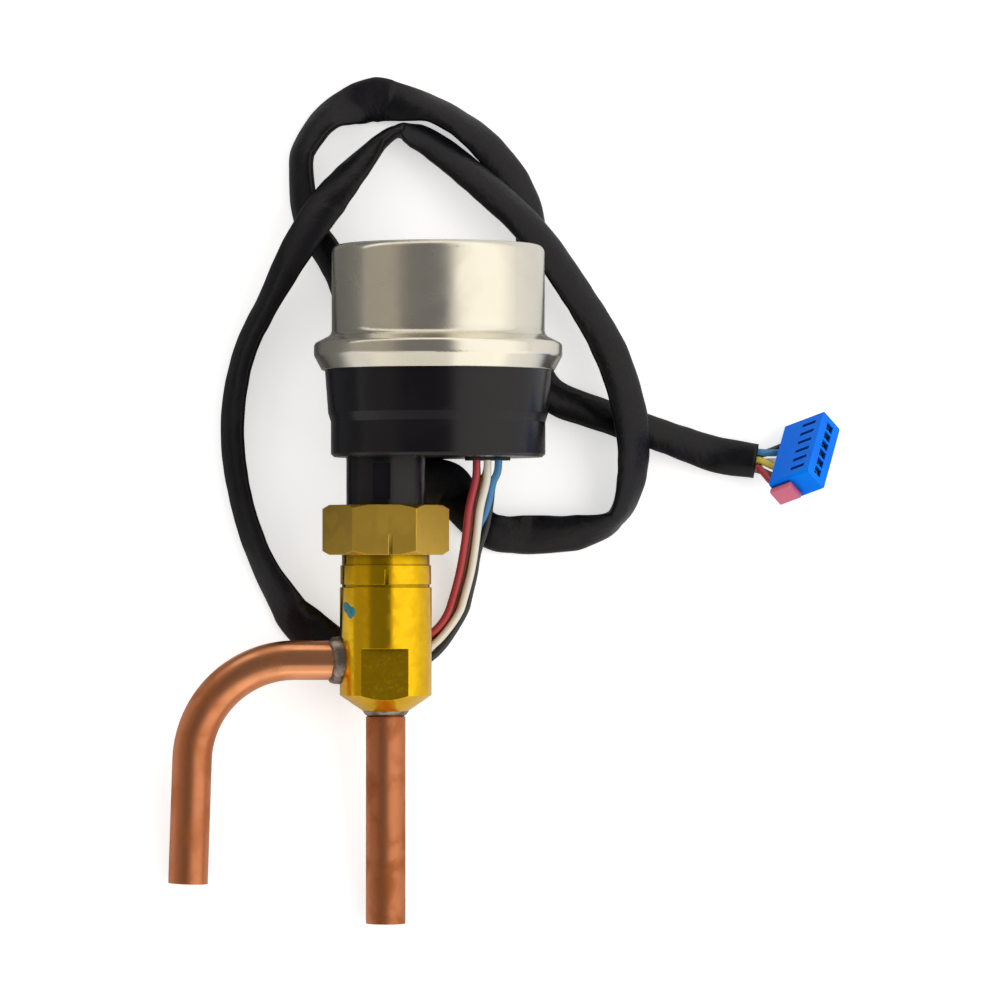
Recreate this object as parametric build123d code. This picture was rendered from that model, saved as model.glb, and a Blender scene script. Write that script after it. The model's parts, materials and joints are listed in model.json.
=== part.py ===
from build123d import *
import math
import os

# Lengths are in millimetres and angles in degrees. The valve is drawn upright in a frame
# of its own: the valve axis is Z with the side port at zero, the motor stands off it
# along +X, and +Y is the side that ends up on the table.

# Heights along the valve axis, each piece from the end of the one before
BODY_FOOT = 10.2
BODY_RISE = 21.1
NUT_HEIGHT = 10.0
NECK_SHOWN = 9.6
HOUSING_HEIGHT = 17.4
CAP_HEIGHT = 25.1

# Stamped cap round the motor
CAP_R = 21.35
CAP_WALL = 0.6
CAP_CORNER_R = 1.6
BEAD_R = 24.9
BEAD_RISE = 7.1
BEAD_NOSE_LOW = 2.9
BEAD_NOSE_HIGH = 5.3
BEAD_CORNER_R = 1.1
BEAD_ROOT_R = 1.5

# Moulded gear housing with its neck
MOTOR_OFFSET = 10.5
HOUSING_R = 21.5
HOUSING_SHOULDER_R = 22.05
HOUSING_RIM_R = 22.7
HOUSING_STEP_LOW = 7.0
HOUSING_STEP_HIGH = 8.8
HOUSING_WALL = 1.4
HOUSING_FLOOR = 2.0
HOUSING_CHAMFER = 0.6
HOUSING_FLANGE = 1.6
NECK_R = 7.9
NECK_BORE_R = 5.6
NECK_FLANGE_R = 9.0
NECK_FLANGE = 1.2
NECK_SLOT_WIDTH = 3.6
NECK_SLOT_DEPTH = 0.7
NECK_SLOT_MARGIN = 1.2
NECK_SLOT_X = -0.8

# Gear train, two equal stages
MODULE = 0.4
PRESSURE_ANGLE = 20.0
ROOT_DEPTH = 1.15
PINION_TEETH = 12
WHEEL_TEETH = 40
TIP_STUB = 0.12
BACKLASH = 0.08
GEAR_WIDTH = 3.0
WHEEL_WIDTH = 2.0
GEAR_PIN_R = 0.8
PIN_BOSS_R = 1.7
IDLER_DROP = 0.6
GEAR_HUB_R = 1.7
OUTPUT_HUB_R = 3.0
OUTPUT_HUB = 2.5
BLADE_WIDTH = 4.6
BLADE_THICKNESS = 1.0
END_PLAY = 0.3

# Motor inside the cap
GEAR_PLATE = 1.2
STATOR_R = 20.6
STATOR_BORE_R = 12.9
STATOR_HEADROOM = 0.5
YOKE_SHEET = 0.8
CLAW_COUNT = 12
CLAW_WIDTH = 2.9
CLAW_TIP_WIDTH = 1.7
CLAW_TIP_GAP = 1.4
BOBBIN_WALL = 0.7
BOBBIN_R = 19.5
COIL_R = 19.0
END_PLATE = 1.0
MAGNET_R = 12.4
MAGNET_WALL = 3.4
MAGNET_INSET = 1.4
ROTOR_SHAFT_R = 1.0
ROTOR_HUB_R = 3.0
ROTOR_WEB = 3.0
BEARING_R = 2.6
BEARING_HEAD_R = 3.4
BEARING_HEAD = 0.8

# Union nut, brass body and its seat
NUT_FLATS = 22.0
NUT_LIP = 2.8
NUT_CHAMFER_R = 0.35
NUT_BEVEL_ANGLE = 30.0
STAKE_WIDTH = 0.7
STAKE_DEPTH = 0.6
NUT_STAKE = (1.2, 4.2)
RING_STAKE = (0.4, 3.0)
THREAD_R = 9.2
NECK_SEAL = 0.5
BODY_R = 9.2
BODY_WAIST_R = 8.8
BODY_RING_R = 9.1
BODY_GROOVE_Z = 14.6
BODY_GROOVE = 0.6
BODY_RING_TOP = 19.0
BODY_CONE = 3.2
BODY_FLATS = 15.8
BODY_FLAT_TOP = 2.4
CHAMBER_R = 4.6
CHAMBER_LOW = 3.6
ORIFICE_R = 1.5
SEAT_CHAMFER = 0.5
UPPER_BORE_R = 6.2
UPPER_BORE_LOW = 14.5
SOCKET_DEPTH = 4.7
SIDE_SOCKET_DEPTH = 3.4

# Needle, its drive and its seal
STROKE = 2.4
STEM_R = 1.4
NOSE_R = 2.2
NEEDLE_TIP = 1.1
NEEDLE_TIP_R = 0.9
NEEDLE_FLANGE_R = 4.6
NEEDLE_FLANGE = 1.2
NEEDLE_HEAD_R = 2.4
NEEDLE_HEAD = 1.0
NEEDLE_TOP = 29.4
BALL_R = 1.0
BALL_SHOWN = 1.4
SCREW_R = 3.0
SCREW_LENGTH = 9.0
SCREW_SLOT_DEPTH = 6.0
BUSH_GAP = 0.4
HOLDER_HEIGHT = 3.5
HOLDER_GUIDE_R = 3.2
HOLDER_GUIDE = 6.5
BELLOWS_R = 3.1
BELLOWS_BORE_R = 1.9
BELLOWS_WALL = 0.25
BELLOWS_FOLDS = 6
SPRING_R = 4.15
SPRING_WIRE_R = 0.35
SPRING_TURNS = 6

# Copper tubes and their brazed joints
TUBE_R = 3.97
TUBE_WALL = 0.8
TUBE_SIZED_DOWN = 0.25
BRAZE_FILM = 0.05
OUTLET_END = 52.7
ELBOW_X = 38.15
ELBOW_R = 20.6
ELBOW_END_X = 39.6
ELBOW_END_Z = 44.7
BRAZE_LEG = 1.1
BRAZE_FACE = 0.55

# Leads, their grommet and terminal strip
LEAD_R = 0.78
LEAD_PITCH = 2.2
LEAD_ROWS_Y = (1.5, 4.0)
LEAD_MIDDLE_X = 20.4
GROMMET_MARGIN = 1.0
GROMMET_LIP = 0.6
GROMMET_CORNER = 0.3
STRIP_HEIGHT = 5.0
PIN_R = 0.4
PIN_LENGTH = 2.5

# Plug on the far end, six ways in one row
PLUG_WAYS = 6
PLUG_PITCH = 2.5
PLUG_END = 2.45
PLUG_DEPTH = 9.8
PLUG_HEIGHT = 5.8
PLUG_EDGE_R = 0.5
PLUG_CAVITY = 1.9
PLUG_WINDOW = (0.8, 3.4)
PLUG_WINDOW_FROM_FRONT = 1.4
PLUG_WINDOW_DEPTH = 1.2
RETAINER_THICKNESS = 1.5
RETAINER_SIZE = (4.9, 4.1)
TAIL_R = 0.74
TAIL_RUN = 1.1
PLUG_REAR = (82.1, 41.5, 6.1)
PLUG_ROW = (-0.271, -0.810, 0.520)
PLUG_UP = (-0.629, 0.557, 0.542)

# Clearances
RUNNING = 0.05
SLIDING = 0.1

# Free cords. Points are on the table, measured from the spot under the side port.
SLEEVE_R = 3.2
SLEEVE_ROUTE = [
    (-7.2, 4.7, 3.3), (-16.6, 9.4, 3.3), (-25.2, 19.6, 3.3), (-30.0, 34.0, 3.3),
    (-32.4, 50.0, 3.3), (-29.8, 66.0, 3.3), (-23.0, 77.5, 6.5), (-17.0, 86.5, 11.0),
    (-10.6, 96.4, 11.0), (-4.4, 105.2, 5.5), (4.6, 114.6, 3.3), (14.4, 106.4, 5.0),
    (24.6, 97.4, 11.0), (34.6, 84.4, 11.0), (42.6, 72.0, 6.0), (47.8, 59.4, 11.0),
    (52.0, 45.0, 11.0), (51.4, 34.6, 4.5), (45.4, 27.2, 3.3), (36.0, 26.2, 3.3),
    (26.6, 27.2, 3.3), (18.0, 31.0, 3.3), (8.6, 33.9, 3.3), (-0.6, 34.6, 3.3),
    (-6.4, 41.2, 3.3), (-7.3, 50.2, 3.3), (-8.8, 63.4, 3.3), (-8.0, 76.2, 3.3),
    (-12.6, 88.6, 3.3), (-17.6, 99.8, 3.3), (-15.0, 112.0, 3.3), (-5.0, 120.6, 3.3),
    (7.6, 119.4, 3.3), (19.6, 114.4, 3.3), (26.6, 104.0, 3.3), (31.4, 93.2, 3.3),
    (30.6, 81.8, 3.3), (29.8, 70.6, 3.3), (31.2, 61.8, 3.3), (37.0, 55.8, 3.3),
    (47.6, 51.4, 3.3), (60.4, 47.0, 3.3), (70.2, 44.4, 3.3), (76.4, 42.6, 4.2),
]
LEAD_ROUTES = {
    "lead_red": [(16.6, 28.6, 14.6), (15.9, 22.0, 8.0), (14.6, 15.5, 3.6), (11.3, 9.2, 2.7),
                 (6.0, 4.8, 2.7), (0.9, 3.4, 3.0)],
    "lead_white": [(19.0, 28.4, 14.9), (18.6, 21.8, 8.0), (17.3, 15.0, 3.8), (12.4, 7.0, 2.7),
                   (6.2, 2.2, 2.7), (0.2, 1.0, 3.0)],
    "lead_blue": [(21.2, 28.2, 14.2), (20.3, 21.8, 6.2), (18.0, 14.6, 2.0), (12.6, 6.8, 0.95),
                  (6.2, 2.1, 0.95), (0.2, 0.9, 1.3)],
    "lead_brown": [(17.2, 29.0, 10.8), (16.8, 22.2, 4.2), (15.2, 15.6, 1.6), (11.4, 9.0, 0.95),
                   (6.0, 4.7, 0.95), (0.9, 3.3, 1.3)],
    "lead_yellow": [(20.2, 28.8, 11.0), (20.8, 22.2, 4.4), (19.9, 15.3, 2.0), (14.4, 5.1, 0.95),
                    (6.6, -0.6, 0.95), (-0.5, -1.5, 1.3)],
    "lead_black": [(22.6, 28.6, 12.0), (22.4, 22.4, 8.0), (20.2, 15.6, 4.1), (14.4, 5.2, 2.7),
                   (6.6, -0.5, 2.7), (-0.5, -1.4, 3.0)],
}
LEAD_IN = 4.4
LEAD_MOUTH = 3.4
# Column in the grommet, row in the grommet, then lane and layer in the sleeve's mouth
LEAD_PLACES = {
    "lead_red": (-1, 0, 1, 1), "lead_white": (0, 0, 0, 1), "lead_blue": (1, 0, 0, -1),
    "lead_brown": (-1, 1, 1, -1), "lead_yellow": (0, 1, -1, -1), "lead_black": (1, 1, -1, 1),
}
LANE_PITCH = 1.75
LAYER_PITCH = 1.8
BEND_SHARE = 0.45

# Levels and places that follow from the sizes above
nut_low = BODY_RISE
nut_top = nut_low + NUT_HEIGHT
nut_shoulder = nut_top - NUT_LIP
neck_low = nut_shoulder - NECK_FLANGE
spigot_top = neck_low - NECK_SEAL
housing_low = nut_top + NECK_SHOWN
floor_top = housing_low + HOUSING_FLOOR
cap_low = housing_low + HOUSING_HEIGHT
cap_top = cap_low + CAP_HEIGHT
nose_low = cap_low + BEAD_NOSE_LOW
nose_high = cap_low + BEAD_NOSE_HIGH
plate_low = cap_low + CAP_WALL + HOUSING_FLANGE
plate_top = plate_low + GEAR_PLATE
stator_top = cap_top - CAP_WALL - STATOR_HEADROOM - BEARING_HEAD - END_PLATE
stator_middle = (plate_top + stator_top) / 2
claw_length = stator_top - stator_middle - 2 * YOKE_SHEET - CLAW_TIP_GAP
lip_r = HOUSING_RIM_R + RUNNING
lip_out = lip_r + CAP_WALL
housing_inner_r = HOUSING_R - HOUSING_WALL
pitch_r = MODULE * WHEEL_TEETH / 2
pinion_pitch_r = MODULE * PINION_TEETH / 2
gear_centres = pitch_r + pinion_pitch_r
idler_x = MOTOR_OFFSET / 2
idler_y = math.sqrt(gear_centres**2 - idler_x**2)
on_motor = Pos(MOTOR_OFFSET, 0, 0)
on_idler = Pos(idler_x, idler_y, 0)
screw_low = NEEDLE_TOP + BALL_SHOWN + RUNNING / 2
screw_top = screw_low + SCREW_LENGTH
blade_low = screw_top - SCREW_SLOT_DEPTH + BLADE_THICKNESS / 2
bush_low = NEEDLE_TOP + BUSH_GAP
bush_top = floor_top + BUSH_GAP
hub_low = bush_top + END_PLAY
wheel_low = hub_low + OUTPUT_HUB
idler_low = wheel_low - IDLER_DROP
idler_wheel_low = plate_low - END_PLAY * 2 - WHEEL_WIDTH * 2
flange_low = NEEDLE_TOP - NEEDLE_HEAD - NEEDLE_FLANGE
holder_top = UPPER_BORE_LOW + HOLDER_HEIGHT
socket_top = -BODY_FOOT + SOCKET_DEPTH
braze_low = -BODY_FOOT - BRAZE_LEG
tube_seat_r = TUBE_R - TUBE_SIZED_DOWN
socket_r = tube_seat_r + BRAZE_FILM
side_socket_x = -BODY_R + SIDE_SOCKET_DEPTH
plug_length = (PLUG_WAYS - 1) * PLUG_PITCH + 2 * PLUG_END


def turned(*corners):
    """Solid of revolution about the valve axis, from corners of radius and height."""
    return revolve(Plane.XZ * make_face(Polyline(*corners, close=True)), Axis.Z)


def ring(outer, inner, low, high):
    """Plain ring or disc about the valve axis."""
    return turned((inner, low), (outer, low), (outer, high), (inner, high))


def bead_inside(height):
    """Inner radius of the cap's bead, on the cone under its nose."""
    slope = (BEAD_R - lip_out) / (nose_low - cap_low)
    return lip_out + slope * (height - cap_low) - CAP_WALL * math.hypot(1, slope)


def motor_cap():
    """Drawn cup with a rolled bead, crimped round the housing's rim."""
    edge = FilletPolyline(
        (-CAP_R, cap_low), (lip_out, cap_low), (BEAD_R, nose_low), (BEAD_R, nose_high),
        (CAP_R, cap_low + BEAD_RISE), (CAP_R, cap_top), (-CAP_R, cap_top),
        radius=[CAP_WALL / 2, BEAD_CORNER_R, BEAD_CORNER_R, BEAD_ROOT_R, CAP_CORNER_R],
    )
    outside = make_face(edge + Line(edge @ 1, edge @ 0))
    inside = offset(outside, -CAP_WALL)
    mouth = Pos(0, cap_low + CAP_WALL) * Rectangle(2 * lip_r, 2 * CAP_WALL)
    half = Pos(BEAD_R, (cap_low + cap_top) / 2) * Rectangle(2 * BEAD_R, 2 * CAP_HEIGHT)
    section = (outside - inside - mouth) & half
    return on_motor * revolve(Plane.XZ * section, Axis.Z)


def lead_positions(lead):
    """Place of one lead in the grommet, across and back from the motor's plane."""
    column, row = LEAD_PLACES[lead][:2]
    return LEAD_MIDDLE_X + column * LEAD_PITCH, LEAD_ROWS_Y[row]


def grommet_outline(margin):
    """Rounded slot round the two rows of leads."""
    rows = LEAD_ROWS_Y[1] - LEAD_ROWS_Y[0]
    height = rows + 2 * (LEAD_R + margin)
    width = 2 * LEAD_PITCH + 2 * (LEAD_R + margin)
    middle = Pos(LEAD_MIDDLE_X, sum(LEAD_ROWS_Y) / 2)
    return middle * RectangleRounded(width, height, height * GROMMET_CORNER)


def gear_housing():
    """Moulded cup on the motor axis with its neck on the valve axis."""
    step_low = housing_low + HOUSING_STEP_LOW
    step_high = housing_low + HOUSING_STEP_HIGH
    cup = on_motor * turned(
        (0, housing_low), (HOUSING_R - HOUSING_CHAMFER, housing_low),
        (HOUSING_R, housing_low + HOUSING_CHAMFER), (HOUSING_R, step_low),
        (HOUSING_SHOULDER_R, step_high), (HOUSING_RIM_R, cap_low),
        (HOUSING_RIM_R, cap_low + CAP_WALL + RUNNING),
        (bead_inside(plate_low) - RUNNING, plate_low), (housing_inner_r, plate_low),
        (housing_inner_r, floor_top), (0, floor_top),
    )
    neck = turned(
        (0, neck_low), (NECK_FLANGE_R, neck_low), (NECK_FLANGE_R, nut_shoulder),
        (NECK_R, nut_shoulder), (NECK_R, housing_low + HOUSING_FLOOR / 2),
        (0, housing_low + HOUSING_FLOOR / 2),
    )
    boss = on_idler * Pos(0, 0, floor_top) * Cylinder(
        PIN_BOSS_R, idler_low - END_PLAY - floor_top, align=(Align.CENTER, Align.CENTER, Align.MIN))
    slot_height = NECK_SHOWN - 2 * NECK_SLOT_MARGIN
    slot = Pos(NECK_SLOT_X, -NECK_R, nut_top + NECK_SLOT_MARGIN + slot_height / 2) * Box(
        NECK_SLOT_WIDTH, 2 * NECK_SLOT_DEPTH, slot_height)
    shell = cup + neck + boss - slot - ring(NECK_BORE_R, 0, neck_low, floor_top)
    shell -= on_idler * ring(GEAR_PIN_R, 0, floor_top - HOUSING_FLOOR / 2, plate_low)
    return shell - Pos(0, 0, housing_low) * extrude(grommet_outline(GROMMET_MARGIN), HOUSING_FLOOR)


def gear(teeth, width):
    """Spur gear whose flanks are arcs through three points of the involute."""
    radius = MODULE * teeth / 2
    base = radius * math.cos(math.radians(PRESSURE_ANGLE))
    tip = radius + MODULE - TIP_STUB
    root = radius - ROOT_DEPTH * MODULE
    half_at_pitch = (math.pi * MODULE / 2 - BACKLASH) / 2 / radius

    def involute(angle):
        return math.tan(angle) - angle

    def half_angle(at):
        pressure = math.acos(min(1.0, base / at))
        return half_at_pitch + involute(math.radians(PRESSURE_ANGLE)) - involute(pressure)

    def flank_point(at, middle, side):
        angle = middle + side * half_angle(at)
        return at * math.cos(angle), at * math.sin(angle)

    outline = []
    step = 2 * math.pi / teeth
    for tooth in range(teeth):
        middle = tooth * step
        rise = [flank_point(at, middle, -1) for at in (root, radius, tip)]
        fall = [flank_point(at, middle, 1) for at in (tip, radius, root)]
        outline += [ThreePointArc(*rise), Line(rise[2], fall[0]), ThreePointArc(*fall)]
        outline += [Line(fall[2], flank_point(root, middle + step, -1))]
    return extrude(make_face(outline), width)


def mesh_angle(towards_x, towards_y, teeth=0):
    """Turn that points a tooth at a neighbour, or a gap if the tooth count is given."""
    turn = math.degrees(math.atan2(towards_y, towards_x))
    return turn + (180 / teeth if teeth else 0)


def output_gear():
    """Last wheel with the blade that turns the screw, on a fixed pin."""
    turn = mesh_angle(idler_x, idler_y, WHEEL_TEETH)
    wheel = Pos(0, 0, wheel_low) * Rot(0, 0, turn) * gear(WHEEL_TEETH, GEAR_WIDTH)
    hub = ring(OUTPUT_HUB_R, 0, hub_low, wheel_low)
    sleeve = ring(GEAR_HUB_R, 0, wheel_low + GEAR_WIDTH, plate_low - END_PLAY)
    blade_height = hub_low - blade_low
    blade = Pos(0, 0, blade_low + blade_height / 2) * Box(BLADE_WIDTH, BLADE_THICKNESS, blade_height)
    bore = ring(GEAR_PIN_R + RUNNING, 0, hub_low + OUTPUT_HUB / 2, plate_low)
    return wheel + hub + sleeve + blade - bore


def intermediate_gear():
    """Wheel and pinion in one piece between the motor and the output."""
    pinion_turn = mesh_angle(-idler_x, -idler_y)
    wheel_turn = mesh_angle(MOTOR_OFFSET - idler_x, -idler_y, WHEEL_TEETH)
    pinion_height = idler_wheel_low - idler_low
    pinion = Pos(0, 0, idler_low) * Rot(0, 0, pinion_turn) * gear(PINION_TEETH, pinion_height)
    wheel = Pos(0, 0, idler_wheel_low) * Rot(0, 0, wheel_turn) * gear(WHEEL_TEETH, WHEEL_WIDTH)
    hub = ring(GEAR_HUB_R, 0, idler_wheel_low + WHEEL_WIDTH, plate_low - END_PLAY)
    bore = ring(GEAR_PIN_R + RUNNING, 0, idler_low, plate_low)
    return on_idler * (pinion + wheel + hub - bore)


def rotor_pinion():
    """Small pinion pressed on the rotor's shaft."""
    low = idler_wheel_low - END_PLAY
    turn = mesh_angle(idler_x - MOTOR_OFFSET, idler_y)
    height = plate_low - END_PLAY * 2 - BEARING_HEAD - low
    pinion = Pos(0, 0, low) * Rot(0, 0, turn) * gear(PINION_TEETH, height)
    return on_motor * (pinion - ring(ROTOR_SHAFT_R, 0, low, low + height))


def gear_plate():
    """Steel plate that closes the housing and carries the gear pins."""
    plate = on_motor * ring(bead_inside(plate_low) - RUNNING, BEARING_R, plate_low, plate_top)
    holes = ring(GEAR_PIN_R, 0, plate_low, plate_top)
    return plate - holes - on_idler * holes


def bearing(plate_face, plate_back):
    """Flanged bush, its head on one face of a plate and its stem through it."""
    away = math.copysign(1, plate_face - plate_back)
    head_end = plate_face + away * BEARING_HEAD
    head = ring(BEARING_HEAD_R, ROTOR_SHAFT_R + RUNNING, *sorted((plate_face, head_end)))
    stem = ring(BEARING_R, ROTOR_SHAFT_R + RUNNING, *sorted((plate_face, plate_back)))
    return on_motor * (head + stem)


def claw_yoke(plate_low_z, claws_up, walled, turn):
    """Pressed ring whose claws stand round the rotor; an outer one is a cup."""
    plate = ring(STATOR_R, STATOR_BORE_R, plate_low_z, plate_low_z + YOKE_SHEET)
    side = 1 if claws_up else -1
    root_z = plate_low_z + (YOKE_SHEET if claws_up else 0)
    width, tip_width = CLAW_WIDTH / 2, CLAW_TIP_WIDTH / 2
    face = Plane.YZ * make_face(Polyline(
        (-width, root_z), (width, root_z), (tip_width, root_z + side * claw_length),
        (-tip_width, root_z + side * claw_length), close=True))
    reach = math.hypot(STATOR_BORE_R, CLAW_WIDTH / 2)
    claw = Pos(reach, 0, 0) * extrude(face, YOKE_SHEET)
    yoke = plate
    for number in range(CLAW_COUNT):
        yoke += Rot(0, 0, turn + number * 360 / CLAW_COUNT) * claw
    if walled:
        wall_end = root_z + side * (stator_top - stator_middle - 2 * YOKE_SHEET)
        yoke += ring(STATOR_R, STATOR_R - YOKE_SHEET, *sorted((root_z, wall_end)))
    return on_motor * yoke


def bobbin(low, high):
    """Spool between a pair of yokes."""
    hub_r = STATOR_BORE_R + 2 * YOKE_SHEET + BOBBIN_WALL
    return on_motor * turned(
        (hub_r - BOBBIN_WALL / 2, low), (BOBBIN_R, low), (BOBBIN_R, low + BOBBIN_WALL),
        (hub_r + BOBBIN_WALL / 2, low + BOBBIN_WALL), (hub_r + BOBBIN_WALL / 2, high - BOBBIN_WALL),
        (BOBBIN_R, high - BOBBIN_WALL), (BOBBIN_R, high), (hub_r - BOBBIN_WALL / 2, high),
    )


def winding(low, high):
    """Coil of enamelled wire on a spool."""
    hub_r = STATOR_BORE_R + 2 * YOKE_SHEET + 1.5 * BOBBIN_WALL
    return on_motor * ring(COIL_R, hub_r, low + BOBBIN_WALL, high - BOBBIN_WALL)


def rotor_parts():
    """Ring magnet, the moulded hub inside it and the shaft."""
    magnet_low = plate_top + MAGNET_INSET
    magnet_top = stator_top - MAGNET_INSET
    inner = MAGNET_R - MAGNET_WALL
    web_low = (magnet_low + magnet_top - ROTOR_WEB) / 2
    hub_ends = plate_top + BEARING_HEAD + END_PLAY, stator_top - END_PLAY
    hub = turned(
        (ROTOR_SHAFT_R, hub_ends[0]), (ROTOR_HUB_R, hub_ends[0]), (ROTOR_HUB_R, web_low),
        (inner, web_low), (inner, web_low + ROTOR_WEB), (ROTOR_HUB_R, web_low + ROTOR_WEB),
        (ROTOR_HUB_R, hub_ends[1]), (ROTOR_SHAFT_R, hub_ends[1]),
    )
    shaft = ring(ROTOR_SHAFT_R, 0, idler_wheel_low - END_PLAY, cap_top - CAP_WALL - END_PLAY)
    return {
        "rotor_magnet": on_motor * ring(MAGNET_R, inner, magnet_low, magnet_top),
        "rotor_hub": on_motor * hub,
        "rotor_shaft": on_motor * shaft,
    }


def stake(place, face, low):
    """Wedge of a chisel mark on the front, deepest at its foot; place is x and height."""
    x, height = place
    side = Plane.YZ * make_face(Polyline(
        (-face - STAKE_DEPTH, low), (-face + STAKE_DEPTH, low), (-face, low + height),
        (-face - STAKE_DEPTH, low + height), close=True))
    return Pos(x - STAKE_WIDTH / 2, 0, 0) * extrude(side, STAKE_WIDTH)


def union_nut():
    """Hexagon nut that pulls the neck's flange on to the body."""
    corner_r = NUT_FLATS / 2 / math.cos(math.pi / 6)
    hexagon = Pos(0, 0, nut_low) * extrude(RegularPolygon(corner_r, 6), NUT_HEIGHT)
    face_r = NUT_FLATS / 2 + NUT_CHAMFER_R
    bevel = (corner_r - face_r) * math.tan(math.radians(NUT_BEVEL_ANGLE))
    crown = turned(
        (0, nut_low), (face_r, nut_low), (corner_r, nut_low + bevel),
        (corner_r, nut_top - bevel), (face_r, nut_top), (0, nut_top),
    )
    bore = ring(THREAD_R, 0, nut_low, nut_shoulder) + ring(NECK_R + SLIDING, 0, nut_low, nut_top)
    return (hexagon & crown) - bore - stake(NUT_STAKE, NUT_FLATS / 2, nut_low)


def valve_body():
    """Turned brass body with its bores, seat, sockets and wrench flats."""
    outside = turned(
        (0, -BODY_FOOT), (TUBE_R + BRAZE_FACE, -BODY_FOOT), (BODY_R, BODY_CONE - BODY_FOOT),
        (BODY_R, BODY_GROOVE_Z), (BODY_WAIST_R, BODY_GROOVE_Z),
        (BODY_WAIST_R, BODY_GROOVE_Z + BODY_GROOVE), (BODY_RING_R, BODY_GROOVE_Z + BODY_GROOVE),
        (BODY_RING_R, BODY_RING_TOP), (BODY_WAIST_R, BODY_RING_TOP),
        (BODY_WAIST_R, BODY_RISE), (THREAD_R, BODY_RISE), (THREAD_R, spigot_top),
        (0, spigot_top),
    )
    inside = turned(
        (0, -BODY_FOOT), (socket_r, -BODY_FOOT), (socket_r, socket_top), (ORIFICE_R, socket_top),
        (ORIFICE_R, -CHAMBER_LOW - SEAT_CHAMFER), (ORIFICE_R + SEAT_CHAMFER, -CHAMBER_LOW),
        (CHAMBER_R, -CHAMBER_LOW), (CHAMBER_R, UPPER_BORE_LOW), (UPPER_BORE_R, UPPER_BORE_LOW),
        (UPPER_BORE_R, spigot_top), (0, spigot_top),
    )
    flat_height = BODY_FLAT_TOP + BODY_FOOT
    between_flats = Box(3 * BODY_R, BODY_FLATS, flat_height)
    flats = Box(3 * BODY_R, 3 * BODY_R, flat_height) - between_flats
    flats = Pos(0, 0, BODY_FLAT_TOP - flat_height / 2) * flats
    side_socket = Plane.YZ * Circle(TUBE_R)
    side_bore = Plane.YZ * Circle(TUBE_R - TUBE_WALL)
    ports = extrude(Pos(side_socket_x, 0, 0) * side_socket, -2 * BODY_R)
    ports += extrude(Pos(0, 0, 0) * side_bore, -BODY_R)
    marks = stake(RING_STAKE, BODY_RING_R, BODY_GROOVE_Z + BODY_GROOVE)
    return outside - inside - flats - ports - marks


def elbow_path():
    """Centre line of the bent inlet tube, from its socket to its open end."""
    return FilletPolyline(
        (side_socket_x, 0, 0), (-ELBOW_X, 0, 0), (-ELBOW_END_X, 0, -ELBOW_END_Z), radius=ELBOW_R)


def pipe(path, outer, inner=0):
    """Round tube or rod along a path of straights and arcs."""
    start = Plane(origin=path @ 0, z_dir=path % 0)
    wall = sweep(start * Circle(outer), path=path)
    return wall - sweep(start * Circle(inner), path=path) if inner else wall


def outlet_tube():
    """Straight tube whose end is sized down for the film of brazing metal in its socket."""
    return turned(
        (TUBE_R - TUBE_WALL, -OUTLET_END), (TUBE_R, -OUTLET_END), (TUBE_R, braze_low),
        (tube_seat_r, braze_low), (tube_seat_r, socket_top), (TUBE_R - TUBE_WALL, socket_top),
    )


def braze_rings():
    """Brazing metal in the outlet's socket, and its fillet round each tube at the body."""
    outlet = turned(
        (tube_seat_r, braze_low), (TUBE_R, braze_low), (TUBE_R + BRAZE_FACE, -BODY_FOOT),
        (socket_r, -BODY_FOOT), (socket_r, socket_top), (tube_seat_r, socket_top))
    ring_face = Plane.XY * make_face(Polyline(
        (-BODY_R - BRAZE_LEG - BRAZE_FACE, TUBE_R), (-BODY_R / 2, TUBE_R),
        (-BODY_R / 2, TUBE_R + BRAZE_LEG), (-BODY_R + BRAZE_FACE, TUBE_R + BRAZE_LEG), close=True))
    inlet = revolve(ring_face, Axis.X) - ring(BODY_R, 0, -BODY_FOOT, BODY_RISE)
    return outlet, inlet


def needle():
    """Stem with its valve nose below and its flange and head above, at the open stop."""
    lift = STROKE
    seat_z = -CHAMBER_LOW - SEAT_CHAMFER + lift
    gap = RUNNING * math.sqrt(2)
    nose_top = seat_z + NOSE_R - ORIFICE_R + gap
    pin_r = ORIFICE_R - 2 * SLIDING
    body = turned(
        (0, seat_z - NEEDLE_TIP), (NEEDLE_TIP_R, seat_z - NEEDLE_TIP), (pin_r, seat_z - SLIDING),
        (pin_r, seat_z + pin_r - ORIFICE_R + gap), (NOSE_R, nose_top), (NOSE_R, nose_top + NOSE_R),
        (STEM_R, nose_top + NOSE_R + NOSE_R - STEM_R), (STEM_R, flange_low),
        (NEEDLE_FLANGE_R, flange_low), (NEEDLE_FLANGE_R, flange_low + NEEDLE_FLANGE),
        (NEEDLE_HEAD_R, flange_low + NEEDLE_FLANGE), (NEEDLE_HEAD_R, NEEDLE_TOP), (0, NEEDLE_TOP),
    )
    return body - Pos(0, 0, NEEDLE_TOP + BALL_SHOWN - BALL_R) * Sphere(BALL_R)


def driver_screw():
    """Screw that the output blade turns; its crest diameter stands for the thread."""
    slot_low = screw_top - SCREW_SLOT_DEPTH
    slot = Pos(0, 0, slot_low + SCREW_SLOT_DEPTH / 2) * Box(
        3 * SCREW_R, BLADE_THICKNESS + 2 * SLIDING, SCREW_SLOT_DEPTH)
    return ring(SCREW_R, 0, screw_low, screw_top) - slot


def drive_bush():
    """Threaded bush fixed in the neck, round the screw."""
    return ring(NECK_BORE_R, SCREW_R + RUNNING, bush_low, bush_top)


def bellows_holder():
    """Guide of the stem, pressed in the body's upper bore."""
    plate = ring(UPPER_BORE_R, STEM_R + RUNNING, UPPER_BORE_LOW, holder_top)
    guide = ring(HOLDER_GUIDE_R, STEM_R + RUNNING, UPPER_BORE_LOW - HOLDER_GUIDE, UPPER_BORE_LOW)
    return plate + guide


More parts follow.
